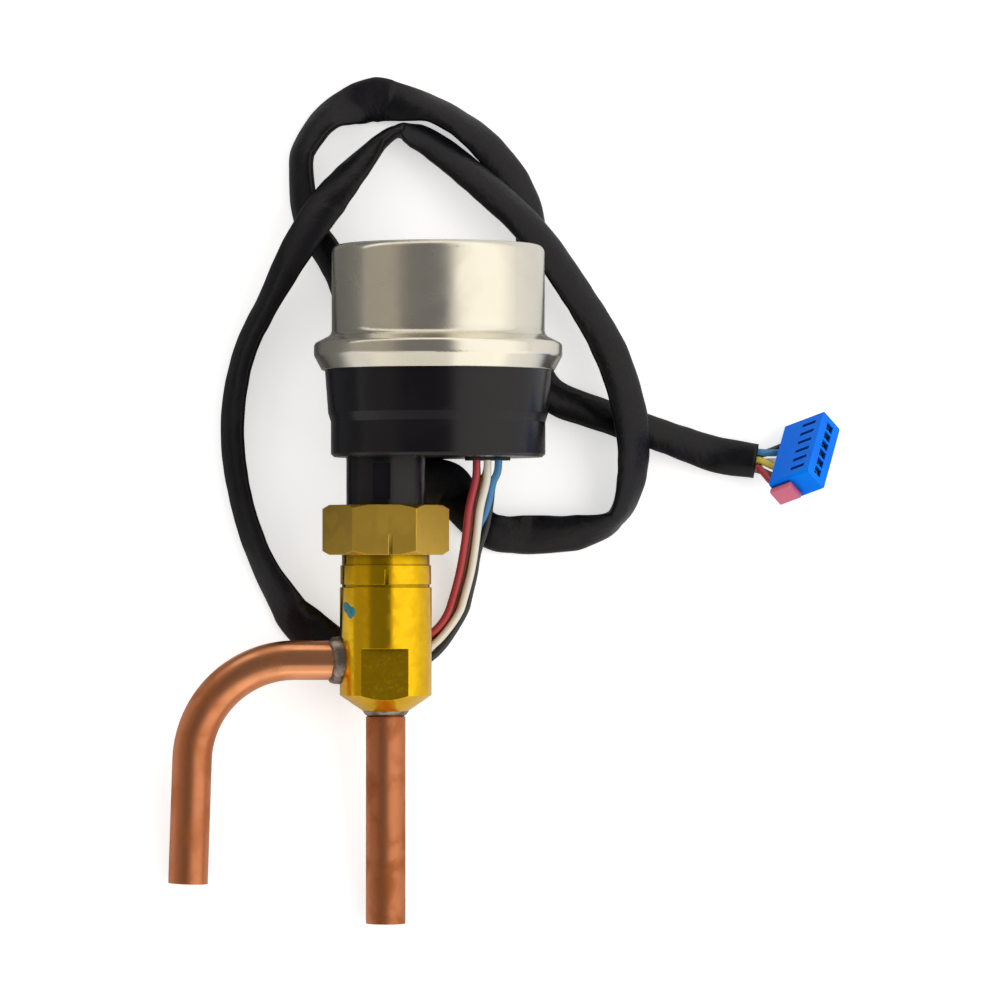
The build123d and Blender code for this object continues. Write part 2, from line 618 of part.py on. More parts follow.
def bellows():
    """Thin corrugated sleeve sealed to the needle's flange and to the holder."""
    fold = (flange_low - holder_top) / (2 * BELLOWS_FOLDS)
    inner, outer = [], []
    for number in range(2 * BELLOWS_FOLDS + 1):
        radius = BELLOWS_BORE_R if number % 2 == 0 else BELLOWS_R - BELLOWS_WALL
        height = holder_top + number * fold
        inner.append((radius, height))
        outer.append((radius + BELLOWS_WALL, height))
    return turned(*inner, *reversed(outer))


def return_spring():
    """Coil spring that lifts the needle off its seat."""
    low = holder_top + SPRING_WIRE_R
    height = flange_low - SPRING_WIRE_R - low
    coil = Pos(0, 0, low) * Helix(height / SPRING_TURNS, height, SPRING_R)
    start = Plane(origin=coil @ 0, z_dir=coil % 0)
    return sweep(start * Circle(SPRING_WIRE_R), path=coil, is_frenet=True)


def grommet():
    """Rubber bush in the housing's floor, with a lip outside."""
    plug = extrude(grommet_outline(GROMMET_MARGIN), HOUSING_FLOOR)
    lip = Pos(0, 0, -GROMMET_LIP) * extrude(grommet_outline(GROMMET_MARGIN + GROMMET_LIP), GROMMET_LIP)
    return Pos(0, 0, housing_low) * (plug + lip)


def terminal_parts():
    """Strip under the gear plate with six pins, and the leads' stripped ends below it."""
    strip_low = plate_low - STRIP_HEIGHT
    strip = Pos(0, 0, strip_low) * extrude(grommet_outline(GROMMET_MARGIN), STRIP_HEIGHT)
    pins, stubs = [], []
    for lead in LEAD_ROUTES:
        x, y = lead_positions(lead)
        pins.append(Pos(x, y, 0) * ring(PIN_R, 0, strip_low - PIN_LENGTH, strip_low))
        stubs.append(Pos(x, y, 0) * ring(LEAD_R, 0, floor_top, strip_low - PIN_LENGTH))
    return strip, Compound(pins), Compound(stubs)


def resting_plane():
    """Table top in the valve's frame, where cap bead, housing edge and elbow touch it."""
    foot_z = housing_low + HOUSING_CHAMFER
    cone = math.atan2(BEAD_R - lip_out, nose_low - cap_low)
    nose_z = nose_low + BEAD_CORNER_R * math.tan(cone / 2)
    nose_r = BEAD_R - BEAD_CORNER_R
    run = math.hypot(nose_r - HOUSING_R, nose_z - foot_z)
    tilt = math.atan2(nose_r - HOUSING_R, nose_z - foot_z) + math.asin(BEAD_CORNER_R / run)
    reach = HOUSING_R * math.cos(tilt) - foot_z * math.sin(tilt)
    elbow_drop = ELBOW_END_Z * math.sin(tilt) + TUBE_R * math.cos(tilt)
    roll = math.asin((elbow_drop - reach) / (MOTOR_OFFSET + ELBOW_END_X) / math.cos(tilt))
    down = Vector(math.sin(roll) * math.cos(tilt), math.cos(roll) * math.cos(tilt), -math.sin(tilt))
    height = reach + down.X * MOTOR_OFFSET
    along = Vector(0, 0, 1) - down * down.Z
    return Plane(origin=down * height, x_dir=along.cross(-down), z_dir=-down)


def bend_radii(points):
    """Radius at each inner point: as large as the shorter of its two runs allows."""
    radii = []
    for before, point, after in zip(points, points[1:], points[2:]):
        run_in, run_out = Vector(*point) - Vector(*before), Vector(*after) - Vector(*point)
        half_turn = math.radians(run_in.get_angle(run_out) / 2)
        radii.append(BEND_SHARE * min(run_in.length, run_out.length) / math.tan(half_turn))
    return radii


def cord(name, points, radius):
    """Cord along its route of runs and arcs, with its length and radii printed."""
    radii = bend_radii(points)
    path = FilletPolyline(*points, radius=radii)
    tube = pipe(path, radius)
    expected = math.pi * radius**2 * path.length
    print(name, "length", round(path.length, 1), "volume share", round(tube.volume / expected, 4),
          "radii", [round(value, 1) for value in radii])
    return tube


def mouth_point(end, inward, lane, layer):
    """Place of a lead in the sleeve's open end."""
    across = Vector(inward.Y, -inward.X, 0).normalized()
    return Vector(*end) + across * (lane * LANE_PITCH) + Vector(0, 0, layer * LAYER_PITCH / 2)


def leads(table):
    """Six leads from the grommet to the sleeve's mouth, on the table."""
    inward = (Vector(*SLEEVE_ROUTE[1]) - Vector(*SLEEVE_ROUTE[0])).normalized()
    parts = {}
    for name, route in LEAD_ROUTES.items():
        x, y = lead_positions(name)
        start = table.to_local_coords(Vector(x, y, housing_low - GROMMET_LIP))
        clear = table.to_local_coords(Vector(x, y, housing_low - GROMMET_LIP - LEAD_IN))
        end = mouth_point(SLEEVE_ROUTE[0], inward, *LEAD_PLACES[name][2:])
        points = [tuple(start), tuple(clear), *route, tuple(end - inward * LEAD_MOUTH), tuple(end)]
        parts[name] = cord(name, points, LEAD_R)
    return parts


def plug_plane():
    """Plug's frame: row along X, mating side towards Y, windows on top."""
    return Plane(origin=PLUG_REAR, x_dir=PLUG_ROW, z_dir=PLUG_UP)


def way_offset(way):
    """Place of one way along the plug's row, from its middle."""
    return (way - (PLUG_WAYS - 1) / 2) * PLUG_PITCH


def plug_parts():
    """Plug housing, its retainer and its crimped contacts, in the plug's frame."""
    block = Pos(0, PLUG_DEPTH / 2, 0) * Box(plug_length, PLUG_DEPTH, PLUG_HEIGHT)
    block = fillet(block.edges().filter_by(Axis.Y), PLUG_EDGE_R)
    window_width, window_length = PLUG_WINDOW
    contacts = []
    for way in range(PLUG_WAYS):
        x = way_offset(way)
        cavity = Pos(x, PLUG_DEPTH / 2, 0) * Box(PLUG_CAVITY, PLUG_DEPTH, PLUG_CAVITY)
        window_y = PLUG_DEPTH - PLUG_WINDOW_FROM_FRONT - window_length / 2
        window = Pos(x, window_y, PLUG_HEIGHT / 2) * Box(
            window_width, window_length, 2 * PLUG_WINDOW_DEPTH)
        block = block - cavity - window
        contact_length = PLUG_DEPTH - 2 * PLUG_WINDOW_FROM_FRONT
        contact_side = PLUG_CAVITY - 2 * SLIDING
        contact = Box(contact_side, contact_length, contact_side)
        contact -= Box(contact_side / 2, contact_length, contact_side / 2)
        contacts.append(Pos(x, PLUG_DEPTH / 2 + PLUG_WINDOW_FROM_FRONT / 2, 0) * contact)
    retainer_length, retainer_height = RETAINER_SIZE
    retainer = Pos((plug_length + RETAINER_THICKNESS) / 2, retainer_length / 2, 0) * Box(
        RETAINER_THICKNESS, retainer_length, retainer_height)
    retainer = fillet(retainer.edges().filter_by(Axis.Y), PLUG_EDGE_R)
    return block, retainer, Compound(contacts)


def plug_leads(plane):
    """Short bare ends of the leads between the sleeve and the plug."""
    end = Vector(*SLEEVE_ROUTE[-1])
    onward = (end - Vector(*SLEEVE_ROUTE[-2])).normalized()
    side = onward.cross(Vector(0, 0, 1)).normalized()
    above = side.cross(onward)
    tails = []
    for way in range(PLUG_WAYS):
        lane = way // 2 - 1
        layer = 1 if way % 2 else -1
        start = end + side * (lane * LANE_PITCH) + above * (layer * LAYER_PITCH / 2)
        rear = Vector(way_offset(way), 0, 0)
        finish = plane.from_local_coords(rear)
        back = plane.from_local_coords(rear - Vector(0, TAIL_RUN, 0))
        points = [tuple(start), tuple(start + onward * TAIL_RUN), tuple(back), tuple(finish)]
        tails.append(cord("plug_leads", points, TAIL_R))
    return Compound(tails)


def valve_parts():
    """Every piece of the valve itself, in the valve's own frame."""
    parts = {
        "motor_cap": motor_cap(),
        "gear_housing": gear_housing(),
        "gear_plate": gear_plate(),
        "output_gear": output_gear(),
        "intermediate_gear": intermediate_gear(),
        "rotor_pinion": rotor_pinion(),
        "lower_bearing": bearing(plate_top, plate_low),
        "upper_bearing": bearing(stator_top + END_PLATE, stator_top),
        "end_plate": on_motor * ring(STATOR_R, BEARING_R, stator_top, stator_top + END_PLATE),
        "union_nut": union_nut(),
        "valve_body": valve_body(),
        "needle": needle(),
        "driver_screw": driver_screw(),
        "drive_bush": drive_bush(),
        "bellows_holder": bellows_holder(),
        "bellows": bellows(),
        "return_spring": return_spring(),
        "lead_grommet": grommet(),
        "neck_seal": ring(NECK_FLANGE_R, UPPER_BORE_R, spigot_top, neck_low),
    }
    parts.update(rotor_parts())
    pin_low = {"output_pin": hub_low + OUTPUT_HUB / 2 + END_PLAY, "intermediate_pin": floor_top}
    parts["output_pin"] = ring(GEAR_PIN_R, 0, pin_low["output_pin"], plate_top)
    parts["intermediate_pin"] = on_idler * ring(GEAR_PIN_R, 0, pin_low["intermediate_pin"], plate_top)
    half_claw = 180 / CLAW_COUNT
    middle = stator_middle - YOKE_SHEET
    parts["lower_outer_yoke"] = claw_yoke(plate_top, True, True, 0)
    parts["lower_inner_yoke"] = claw_yoke(middle, False, False, half_claw)
    parts["upper_inner_yoke"] = claw_yoke(stator_middle, True, False, half_claw / 2)
    parts["upper_outer_yoke"] = claw_yoke(stator_top - YOKE_SHEET, False, True, half_claw * 1.5)
    lower = plate_top + YOKE_SHEET, middle
    upper = stator_middle + YOKE_SHEET, stator_top - YOKE_SHEET
    for name, ends in (("lower", lower), ("upper", upper)):
        parts[name + "_bobbin"] = bobbin(*ends)
        parts[name + "_winding"] = winding(*ends)
    parts["thrust_ball"] = Pos(0, 0, NEEDLE_TOP + BALL_SHOWN - BALL_R) * Sphere(BALL_R)
    parts["outlet_tube"] = outlet_tube()
    parts["inlet_tube"] = pipe(elbow_path(), TUBE_R, TUBE_R - TUBE_WALL)
    parts["outlet_braze"], parts["inlet_braze"] = braze_rings()
    parts["terminal_strip"], parts["terminal_pins"], parts["inner_leads"] = terminal_parts()
    return parts


def build():
    """All nodes in the table's frame, the valve's foot print centred on its origin."""
    table = resting_plane()
    parts = {name: table.to_local_coords(piece) for name, piece in valve_parts().items()}
    box = Compound(list(parts.values())).bounding_box()
    print("valve on the table", box)
    parts.update(leads(table))
    parts["cable_sleeve"] = cord("cable_sleeve", SLEEVE_ROUTE, SLEEVE_R)
    plane = plug_plane()
    block, retainer, contacts = plug_parts()
    parts["plug_housing"] = plane.from_local_coords(block)
    parts["plug_retainer"] = plane.from_local_coords(retainer)
    parts["plug_contacts"] = plane.from_local_coords(contacts)
    parts["plug_leads"] = plug_leads(plane)
    centre = Pos(-box.center().X, -box.center().Y, -box.min.Z)
    return {name: centre * piece for name, piece in parts.items()}, centre


def main():
    os.makedirs("parts", exist_ok=True)
    nodes, centre = build()
    print("origin shift", centre.position)
    for name, piece in nodes.items():
        export_step(piece, f"parts/{name}.step")


if __name__ == "__main__":
    main()
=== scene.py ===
import json
import math

import bpy
import numpy as np
from mathutils import Matrix, Vector


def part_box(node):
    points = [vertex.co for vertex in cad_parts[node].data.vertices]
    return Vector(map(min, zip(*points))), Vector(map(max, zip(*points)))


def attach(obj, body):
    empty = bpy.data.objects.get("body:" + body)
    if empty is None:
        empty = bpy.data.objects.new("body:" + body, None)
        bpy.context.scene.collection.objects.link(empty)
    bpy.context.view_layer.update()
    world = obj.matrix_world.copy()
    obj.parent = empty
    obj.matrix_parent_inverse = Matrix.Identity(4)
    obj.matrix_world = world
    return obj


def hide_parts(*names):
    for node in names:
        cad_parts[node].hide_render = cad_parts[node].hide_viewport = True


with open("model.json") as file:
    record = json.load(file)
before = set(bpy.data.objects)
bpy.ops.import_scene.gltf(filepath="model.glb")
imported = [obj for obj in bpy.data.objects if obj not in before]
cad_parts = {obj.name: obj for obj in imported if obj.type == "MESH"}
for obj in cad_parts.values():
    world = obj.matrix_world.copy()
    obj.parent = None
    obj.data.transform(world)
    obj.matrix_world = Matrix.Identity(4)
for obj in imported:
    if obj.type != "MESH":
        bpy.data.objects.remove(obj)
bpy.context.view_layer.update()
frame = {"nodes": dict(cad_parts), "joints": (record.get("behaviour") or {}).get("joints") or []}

bl_info = {
    "name": "Expansion valve looks",
    "version": (1, 0, 0),
    "blender": (4, 5, 0),
    "location": "3D View > Sidebar > Valve",
    "description": "Cords, brazing, finishes and studio round the packed expansion valve",
    "category": "Object",
}

MM = 0.001

# Places on the valve's own axes, in millimetres as in the part's source
NUT_MIDDLE = 26.1
BODY_R = 9.2
BODY_FOOT = -10.2
TUBE_R = 3.97
HOUSING_LOW = 40.7

# Camera of the photograph, on the valve's axes
CAMERA_PLACE = Vector((22.9, -1034.6, 20.05)) * MM
CAMERA_AIM = Vector((22.9, 0.0, 32.1)) * MM
CAMERA_LENS = 185.8
CAMERA_SENSOR = 36.0

# Leads between the grommet and the sleeve
LEAD_PITCH = 2.2
LEAD_ROWS_Y = (1.5, 4.0)
LEAD_MIDDLE_X = 20.4
GROMMET_LIP = 0.6
LEAD_IN = 2.4
LEAD_MOUTH = 3.4
LEAD_INSIDE = 2.0
LANE_PITCH = 1.75
LAYER_PITCH = 1.8

# Routes in metres from the spot on the table under the side port. The sleeve's fourth
# value is its width seen from above.
SLEEVE_ROUTE = (
    (-0.00768, 0.00263, 0.00330, 0.0073), (-0.01758, 0.00933, 0.00330, 0.0085),
    (-0.02030, 0.01400, 0.00330, 0.0067), (-0.02449, 0.02076, 0.00330, 0.0053),
    (-0.02889, 0.03309, 0.00332, 0.0049), (-0.03120, 0.04890, 0.00322, 0.0051),
    (-0.02879, 0.06464, 0.00380, 0.0049), (-0.02309, 0.07512, 0.00625, 0.0051),
    (-0.01795, 0.08490, 0.01063, 0.0069), (-0.01149, 0.09484, 0.01128, 0.0077),
    (-0.00467, 0.10405, 0.00644, 0.0059), (-0.00125, 0.10813, 0.00474, 0.0037),
    (0.00311, 0.11190, 0.00384, 0.0027), (0.00700, 0.11081, 0.00423, 0.0055),
    (0.01147, 0.10835, 0.00440, 0.0063), (0.02170, 0.09815, 0.00975, 0.0067),
    (0.03136, 0.08825, 0.01174, 0.0067), (0.04069, 0.07548, 0.00724, 0.0067),
    (0.04712, 0.06379, 0.00886, 0.0072), (0.05071, 0.04888, 0.01189, 0.0071),
    (0.05096, 0.03838, 0.00677, 0.0061), (0.04788, 0.02977, 0.00340, 0.0039),
    (0.03967, 0.02741, 0.00328, 0.0073), (0.03015, 0.02734, 0.00330, 0.0080),
    (0.02188, 0.02725, 0.00330, 0.0073), (0.01700, 0.03201, 0.00330, 0.0077),
    (0.01466, 0.03682, 0.00330, 0.0090), (0.01226, 0.03851, 0.00330, 0.0098),
    (0.00363, 0.03838, 0.00330, 0.0094), (-0.00445, 0.04184, 0.00330, 0.0053),
    (-0.00725, 0.04933, 0.00330, 0.0053), (-0.00877, 0.06339, 0.00330, 0.0057),
    (-0.00599, 0.07328, 0.00330, 0.0057), (-0.00939, 0.08392, 0.00330, 0.0061),
    (-0.01567, 0.09223, 0.00330, 0.0061), (-0.01683, 0.10537, 0.00330, 0.0051),
    (-0.01549, 0.10882, 0.00330, 0.0055), (-0.01143, 0.11477, 0.00330, 0.0061),
    (-0.00592, 0.11756, 0.00330, 0.0083), (-0.00100, 0.11928, 0.00330, 0.0094),
    (0.00470, 0.11812, 0.00330, 0.0078), (0.01072, 0.11675, 0.00330, 0.0059),
    (0.01594, 0.11373, 0.00330, 0.0057), (0.02039, 0.11033, 0.00330, 0.0065),
    (0.02437, 0.10582, 0.00330, 0.0067), (0.02750, 0.10141, 0.00330, 0.0069),
    (0.03023, 0.09502, 0.00330, 0.0067), (0.03095, 0.08750, 0.00330, 0.0061),
    (0.02988, 0.07346, 0.00330, 0.0057), (0.03122, 0.06224, 0.00330, 0.0061),
    (0.03437, 0.05603, 0.00330, 0.0071), (0.04327, 0.05300, 0.00330, 0.0069),
    (0.05586, 0.04854, 0.00329, 0.0067), (0.06695, 0.04451, 0.00336, 0.0071),
    (0.07024, 0.04369, 0.00372, 0.0071), (0.07640, 0.04260, 0.00420, 0.0071),
)
LEAD_ROUTES = {
    "lead_red": (
        (0.01801, 0.03548, 0.01855), (0.01675, 0.03061, 0.01656), (0.01650, 0.02675, 0.01345),
        (0.01596, 0.02280, 0.00990), (0.01527, 0.01877, 0.00683), (0.01415, 0.01458, 0.00468),
        (0.01269, 0.01006, 0.00395), (0.00935, 0.00642, 0.00368), (0.00322, 0.00418, 0.00283),
        (-0.00231, 0.00308, 0.00257)),
    "lead_white": (
        (0.02036, 0.03551, 0.01841), (0.01904, 0.03063, 0.01646), (0.01868, 0.02676, 0.01334),
        (0.01824, 0.02281, 0.00981), (0.01762, 0.01880, 0.00671), (0.01641, 0.01449, 0.00471),
        (0.01530, 0.01062, 0.00388), (0.00947, 0.00349, 0.00330), (0.00320, 0.00204, 0.00275),
        (-0.00243, 0.00095, 0.00258)),
    "lead_blue": (
        (0.02153, 0.03567, 0.01756), (0.02071, 0.03100, 0.01442), (0.01892, 0.02741, 0.00973),
        (0.01899, 0.02341, 0.00632), (0.01822, 0.01939, 0.00324), (0.01707, 0.01504, 0.00099),
        (0.01628, 0.01145, 0.00094), (0.01025, 0.00186, 0.00095), (0.00316, 0.00001, 0.00096),
        (-0.00247, -0.00110, 0.00090)),
    "lead_brown": (
        (0.01868, 0.03598, 0.01592), (0.01763, 0.03094, 0.01476), (0.01748, 0.02707, 0.01165),
        (0.01705, 0.02311, 0.00810), (0.01630, 0.01907, 0.00504), (0.01521, 0.01485, 0.00285),
        (0.01377, 0.01048, 0.00234), (0.00903, 0.00582, 0.00160), (0.00312, 0.00410, 0.00092),
        (-0.00248, 0.00319, 0.00090)),
    "lead_yellow": (
        (0.01943, 0.03634, 0.01397), (0.01821, 0.03128, 0.01284), (0.01729, 0.02738, 0.00987),
        (0.01752, 0.02342, 0.00630), (0.01666, 0.01938, 0.00325), (0.01558, 0.01510, 0.00099),
        (0.01459, 0.01111, 0.00094), (0.00942, 0.00375, 0.00095), (0.00334, 0.00208, 0.00096),
        (-0.00264, 0.00104, 0.00090)),
    "lead_black": (
        (0.02157, 0.03604, 0.01562), (0.02122, 0.03136, 0.01244), (0.02051, 0.02724, 0.01065),
        (0.01882, 0.02305, 0.00842), (0.01841, 0.01910, 0.00498), (0.01734, 0.01474, 0.00284),
        (0.01657, 0.01122, 0.00245), (0.01013, 0.00159, 0.00246), (0.00310, -0.00000, 0.00276),
        (-0.00254, -0.00119, 0.00258)),
}
# Column and row in the grommet, lane and layer in the sleeve's mouth, real length in metres
LEAD_PLACES = {
    "lead_red": (-1, 0, 1, 1, 0.057), "lead_white": (0, 0, 0, 1, 0.0615),
    "lead_blue": (1, 0, -1, -1, 0.0635), "lead_brown": (-1, 1, 1, -1, 0.0575),
    "lead_yellow": (0, 1, 0, -1, 0.0665), "lead_black": (1, 1, -1, 1, 0.0655),
}

# Plug's place, as in the part's source
PLUG_WAYS = 6
PLUG_PITCH = 2.5
PLUG_REAR = (82.1, 41.5, 6.1)
PLUG_ROW = (-0.271, -0.810, 0.520)
PLUG_UP = (-0.629, 0.557, 0.542)
TAIL_RUN = 1.1
TAIL_LANE = 1.65
TAIL_INSIDE = 3.0
TAIL_ORDER = ("lead_black", "lead_blue", "lead_white", "lead_yellow", "lead_brown", "lead_red")


def valve_axes():
    """Matrix from the valve's own axes to the table, read from the joints and the nut."""
    joints = {joint["name"]: joint for joint in frame["joints"]}
    output, rotor = joints["output_turn"], joints["rotor_turn"]
    up = -Vector(output["axis"]).normalized()
    offset = Vector(rotor["pos_m"]) - Vector(output["pos_m"])
    across = (offset - up * offset.dot(up)).normalized()
    low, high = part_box("union_nut")
    turn = Matrix((across, up.cross(across), up)).transposed()
    return Matrix.Translation((low + high) / 2 - up * NUT_MIDDLE * MM) @ turn.to_4x4()


VALVE = valve_axes()
FOOT = Vector((VALVE.translation.x, VALVE.translation.y, 0))


class ValveSizes(bpy.types.PropertyGroup):
    """Sizes of the soft and brazed pieces."""

    sleeve_width: bpy.props.FloatProperty(
        name="Sleeve width", description="Width of the flattened sleeve",
        default=0.0086, subtype="DISTANCE", unit="LENGTH")
    sleeve_height: bpy.props.FloatProperty(
        name="Sleeve height", description="Thickness of the flattened sleeve",
        default=0.0036, subtype="DISTANCE", unit="LENGTH")
    sleeve_round: bpy.props.FloatProperty(
        name="Sleeve diameter", description="Diameter of the sleeve where it is round",
        default=0.0064, subtype="DISTANCE", unit="LENGTH")
    sleeve_length: bpy.props.FloatProperty(
        name="Sleeve length", description="Real length of the sleeve",
        default=0.51, subtype="DISTANCE", unit="LENGTH")
    lead_diameter: bpy.props.FloatProperty(
        name="Lead diameter", description="Diameter over a lead's insulation",
        default=0.00156, subtype="DISTANCE", unit="LENGTH")
    braze_height: bpy.props.FloatProperty(
        name="Braze height", description="Height of the brazing metal on the tube",
        default=0.0011, subtype="DISTANCE", unit="LENGTH")
    dab_size: bpy.props.FloatProperty(
        name="Paint dab size", description="Radius of the inspection paint dab",
        default=0.0013, subtype="DISTANCE", unit="LENGTH")


def colour_property(name, description, default):
    """Colour that the panel shows."""
    return bpy.props.FloatVectorProperty(
        name=name, description=description, subtype="COLOR", size=3, min=0, max=1, default=default)


class ValveColours(bpy.types.PropertyGroup):
    """Main colours of the finishes."""

    steel: colour_property("Steel", "Drawn stainless cap", (0.80, 0.77, 0.68))
    plastic: colour_property("Housing", "Moulded black plastic", (0.0032, 0.0026, 0.0046))
    nut: colour_property("Nut brass", "Dull brass of the nut", (0.70, 0.455, 0.070))
    brass: colour_property("Body brass", "Bright turned brass", (0.88, 0.53, 0.012))
    copper: colour_property("Copper", "Drawn copper tube", (0.57, 0.21, 0.095))
    clean_copper: colour_property("Clean copper", "Copper cleaned by the torch", (0.92, 0.40, 0.20))
    braze: colour_property("Braze", "Silver brazing metal", (0.34, 0.29, 0.25))
    sleeve: colour_property("Sleeve", "Soft black sleeving", (0.0042, 0.0038, 0.0054))
    plug: colour_property("Plug", "Blue nylon", (0.0, 0.18, 1.0))
    retainer: colour_property("Retainer", "Pink nylon", (0.66, 0.15, 0.24))
    paint: colour_property("Paint dab", "Inspection paint", (0.010, 0.12, 0.17))


LEAD_COLOURS = {
    "lead_red": (0.30, 0.012, 0.022), "lead_white": (0.86, 0.79, 0.66),
    "lead_blue": (0.022, 0.08, 0.11), "lead_brown": (0.09, 0.03, 0.016),
    "lead_yellow": (0.60, 0.55, 0.04), "lead_black": (0.012, 0.012, 0.013),
}


# Shader nodes

def add(tree, kind, inputs=None, **settings):
    """Adds one node, sets it up, and links or sets the named inputs."""
    node = tree.nodes.new("ShaderNode" + kind)
    for key, value in settings.items():
        setattr(node, key, value)
    for key, value in (inputs or {}).items():
        if isinstance(value, bpy.types.NodeSocket):
            tree.links.new(value, node.inputs[key])
        else:
            node.inputs[key].default_value = value
    return node


def ramp(tree, value, low, high, to_low=0.0, to_high=1.0):
    """Smooth step of a value between two levels."""
    node = add(tree, "MapRange", {
        "Value": value, "From Min": low, "From Max": high, "To Min": to_low, "To Max": to_high,
    }, interpolation_type="SMOOTHSTEP")
    return node.outputs["Result"]


def effect_group(name, inputs, outputs):
    """Empty shader group with named sockets: (name, kind, default) in, (name, kind) out."""
    tree = bpy.data.node_groups.new(name, "ShaderNodeTree")
    for label, kind, default in inputs:
        socket = tree.interface.new_socket(
            name=label, in_out="INPUT", socket_type="NodeSocket" + kind)
        if default is not None:
            socket.default_value = default
    for label, kind in outputs:
        tree.interface.new_socket(name=label, in_out="OUTPUT", socket_type="NodeSocket" + kind)
    return tree, tree.nodes.new("NodeGroupInput").outputs, tree.nodes.new("NodeGroupOutput").inputs


def make_grain():
    """Moulded or cast skin: two sizes of noise added up."""
    tree, given, out = effect_group(
        "Fine grain", [("Vector", "Vector", None), ("Scale", "Float", 4000.0)], [("Height", "Float")])
    fine = add(tree, "TexNoise", {"Vector": given["Vector"], "Scale": given["Scale"], "Detail": 3.0})
    broad_scale = add(tree, "Math", {0: given["Scale"], 1: 0.12}, operation="MULTIPLY")
    broad = add(tree, "TexNoise", {
        "Vector": given["Vector"], "Scale": broad_scale.outputs[0], "Detail": 2.0})
    total = add(tree, "Math", {0: fine.outputs["Fac"], 1: broad.outputs["Fac"]}, operation="ADD")
    tree.links.new(total.outputs[0], out["Height"])
    return tree


def make_turned():
    """Tool marks of a lathe: noise that changes only along the axis."""
    tree, given, out = effect_group(
        "Turned lines", [("Vector", "Vector", None), ("Lines", "Float", 9000.0)], [("Height", "Float")])
    part = add(tree, "SeparateXYZ", {"Vector": given["Vector"]})
    steps = add(tree, "Math", {0: part.outputs["Z"], 1: given["Lines"]}, operation="MULTIPLY")
    lines = add(tree, "TexNoise", {"W": steps.outputs[0], "Scale": 1.0, "Detail": 2.0},
                noise_dimensions="1D")
    tree.links.new(lines.outputs["Fac"], out["Height"])
    return tree


def make_streaks():
    """Drawing lines and rubs: noise stretched along one axis."""
    tree, given, out = effect_group(
        "Drawn streaks", [
            ("Vector", "Vector", None), ("Across", "Float", 2500.0), ("Along", "Float", 60.0)],
        [("Mask", "Float")])
    stretch = add(tree, "CombineXYZ", {
        "X": given["Across"], "Y": given["Across"], "Z": given["Along"]})
    scaled = add(tree, "VectorMath", {0: given["Vector"], 1: stretch.outputs[0]}, operation="MULTIPLY")
    noise = add(tree, "TexNoise", {"Vector": scaled.outputs[0], "Scale": 1.0, "Detail": 4.0})
    tree.links.new(ramp(tree, noise.outputs["Fac"], 0.42, 0.72), out["Mask"])
    return tree


def make_patches():
    """Stain and oxide: two colours mixed by soft-edged clouds."""
    tree, given, out = effect_group(
        "Patches", [
            ("Vector", "Vector", None), ("Scale", "Float", 150.0), ("Clean", "Color", None),
            ("Stained", "Color", None), ("Amount", "Float", 0.5)],
        [("Color", "Color"), ("Mask", "Float")])
    noise = add(tree, "TexNoise", {
        "Vector": given["Vector"], "Scale": given["Scale"], "Detail": 5.0, "Distortion": 0.6})
    mask = ramp(tree, noise.outputs["Fac"], 0.38, 0.68)
    share = add(tree, "Math", {0: mask, 1: given["Amount"]}, operation="MULTIPLY")
    colour = add(tree, "Mix", {
        "Factor": share.outputs[0], "A": given["Clean"], "B": given["Stained"]}, data_type="RGBA")
    tree.links.new(colour.outputs["Result"], out["Color"])
    tree.links.new(share.outputs[0], out["Mask"])
    return tree


def make_edges():
    """Broken edges: the rounded normal, and a mask of where it departs from the face."""
    tree, given, out = effect_group(
        "Broken edges", [("Radius", "Float", 0.0002)], [("Normal", "Vector"), ("Mask", "Float")])
    bevel = add(tree, "Bevel", {"Radius": given["Radius"]}, samples=6)
    face = add(tree, "NewGeometry")
    same = add(tree, "VectorMath", {0: bevel.outputs["Normal"], 1: face.outputs["Normal"]},
               operation="DOT_PRODUCT")
    tree.links.new(bevel.outputs["Normal"], out["Normal"])
    tree.links.new(ramp(tree, same.outputs["Value"], 0.995, 0.86), out["Mask"])
    return tree


def make_crevice_shade():
    """Painted shade in grooves and joints, from ambient occlusion: 0 deep inside, 1 on an open face."""
    tree, given, out = effect_group(
        "Painted crevice shade", [("Distance", "Float", 0.0015)], [("Mask", "Float")])
    hollow = add(tree, "AmbientOcclusion", {"Distance": given["Distance"]}, samples=4)
    tree.links.new(ramp(tree, hollow.outputs["AO"], 0.45, 0.9), out["Mask"])
    return tree


def make_milled():
    """Bright specks on milled flats: faces that look along Axis, nearer the middle than Radius."""
    tree, given, out = effect_group(
        "Milled flats", [
            ("Vector", "Vector", None), ("Axis", "Vector", None), ("Radius", "Float", 0.009)],
        [("Mask", "Float")])
    face = add(tree, "NewGeometry")
    along = add(tree, "VectorMath", {0: face.outputs["Normal"], 1: given["Axis"]},
                operation="DOT_PRODUCT")
    flat = add(tree, "Math", {0: along.outputs["Value"]}, operation="ABSOLUTE")
    place = add(tree, "SeparateXYZ", {"Vector": given["Vector"]})
    far = add(tree, "Math", {0: place.outputs["Y"]}, operation="ABSOLUTE")
    inside = add(tree, "Math", {0: far.outputs[0], 1: given["Radius"]}, operation="LESS_THAN")
    specks = add(tree, "TexNoise", {"Vector": given["Vector"], "Scale": 1300.0, "Detail": 3.0})
    both = add(tree, "Math", {0: ramp(tree, flat.outputs[0], 0.998, 0.9998), 1: inside.outputs[0]},
               operation="MULTIPLY")
    shown = add(tree, "Math", {0: both.outputs[0], 1: ramp(tree, specks.outputs["Fac"], 0.5, 0.66)},
                operation="MULTIPLY")
    tree.links.new(shown.outputs[0], out["Mask"])
    return tree


GROUPS = {
    "grain": make_grain, "turned": make_turned, "streaks": make_streaks,
    "patches": make_patches, "edges": make_edges, "joints": make_crevice_shade,
    "milled": make_milled,
}


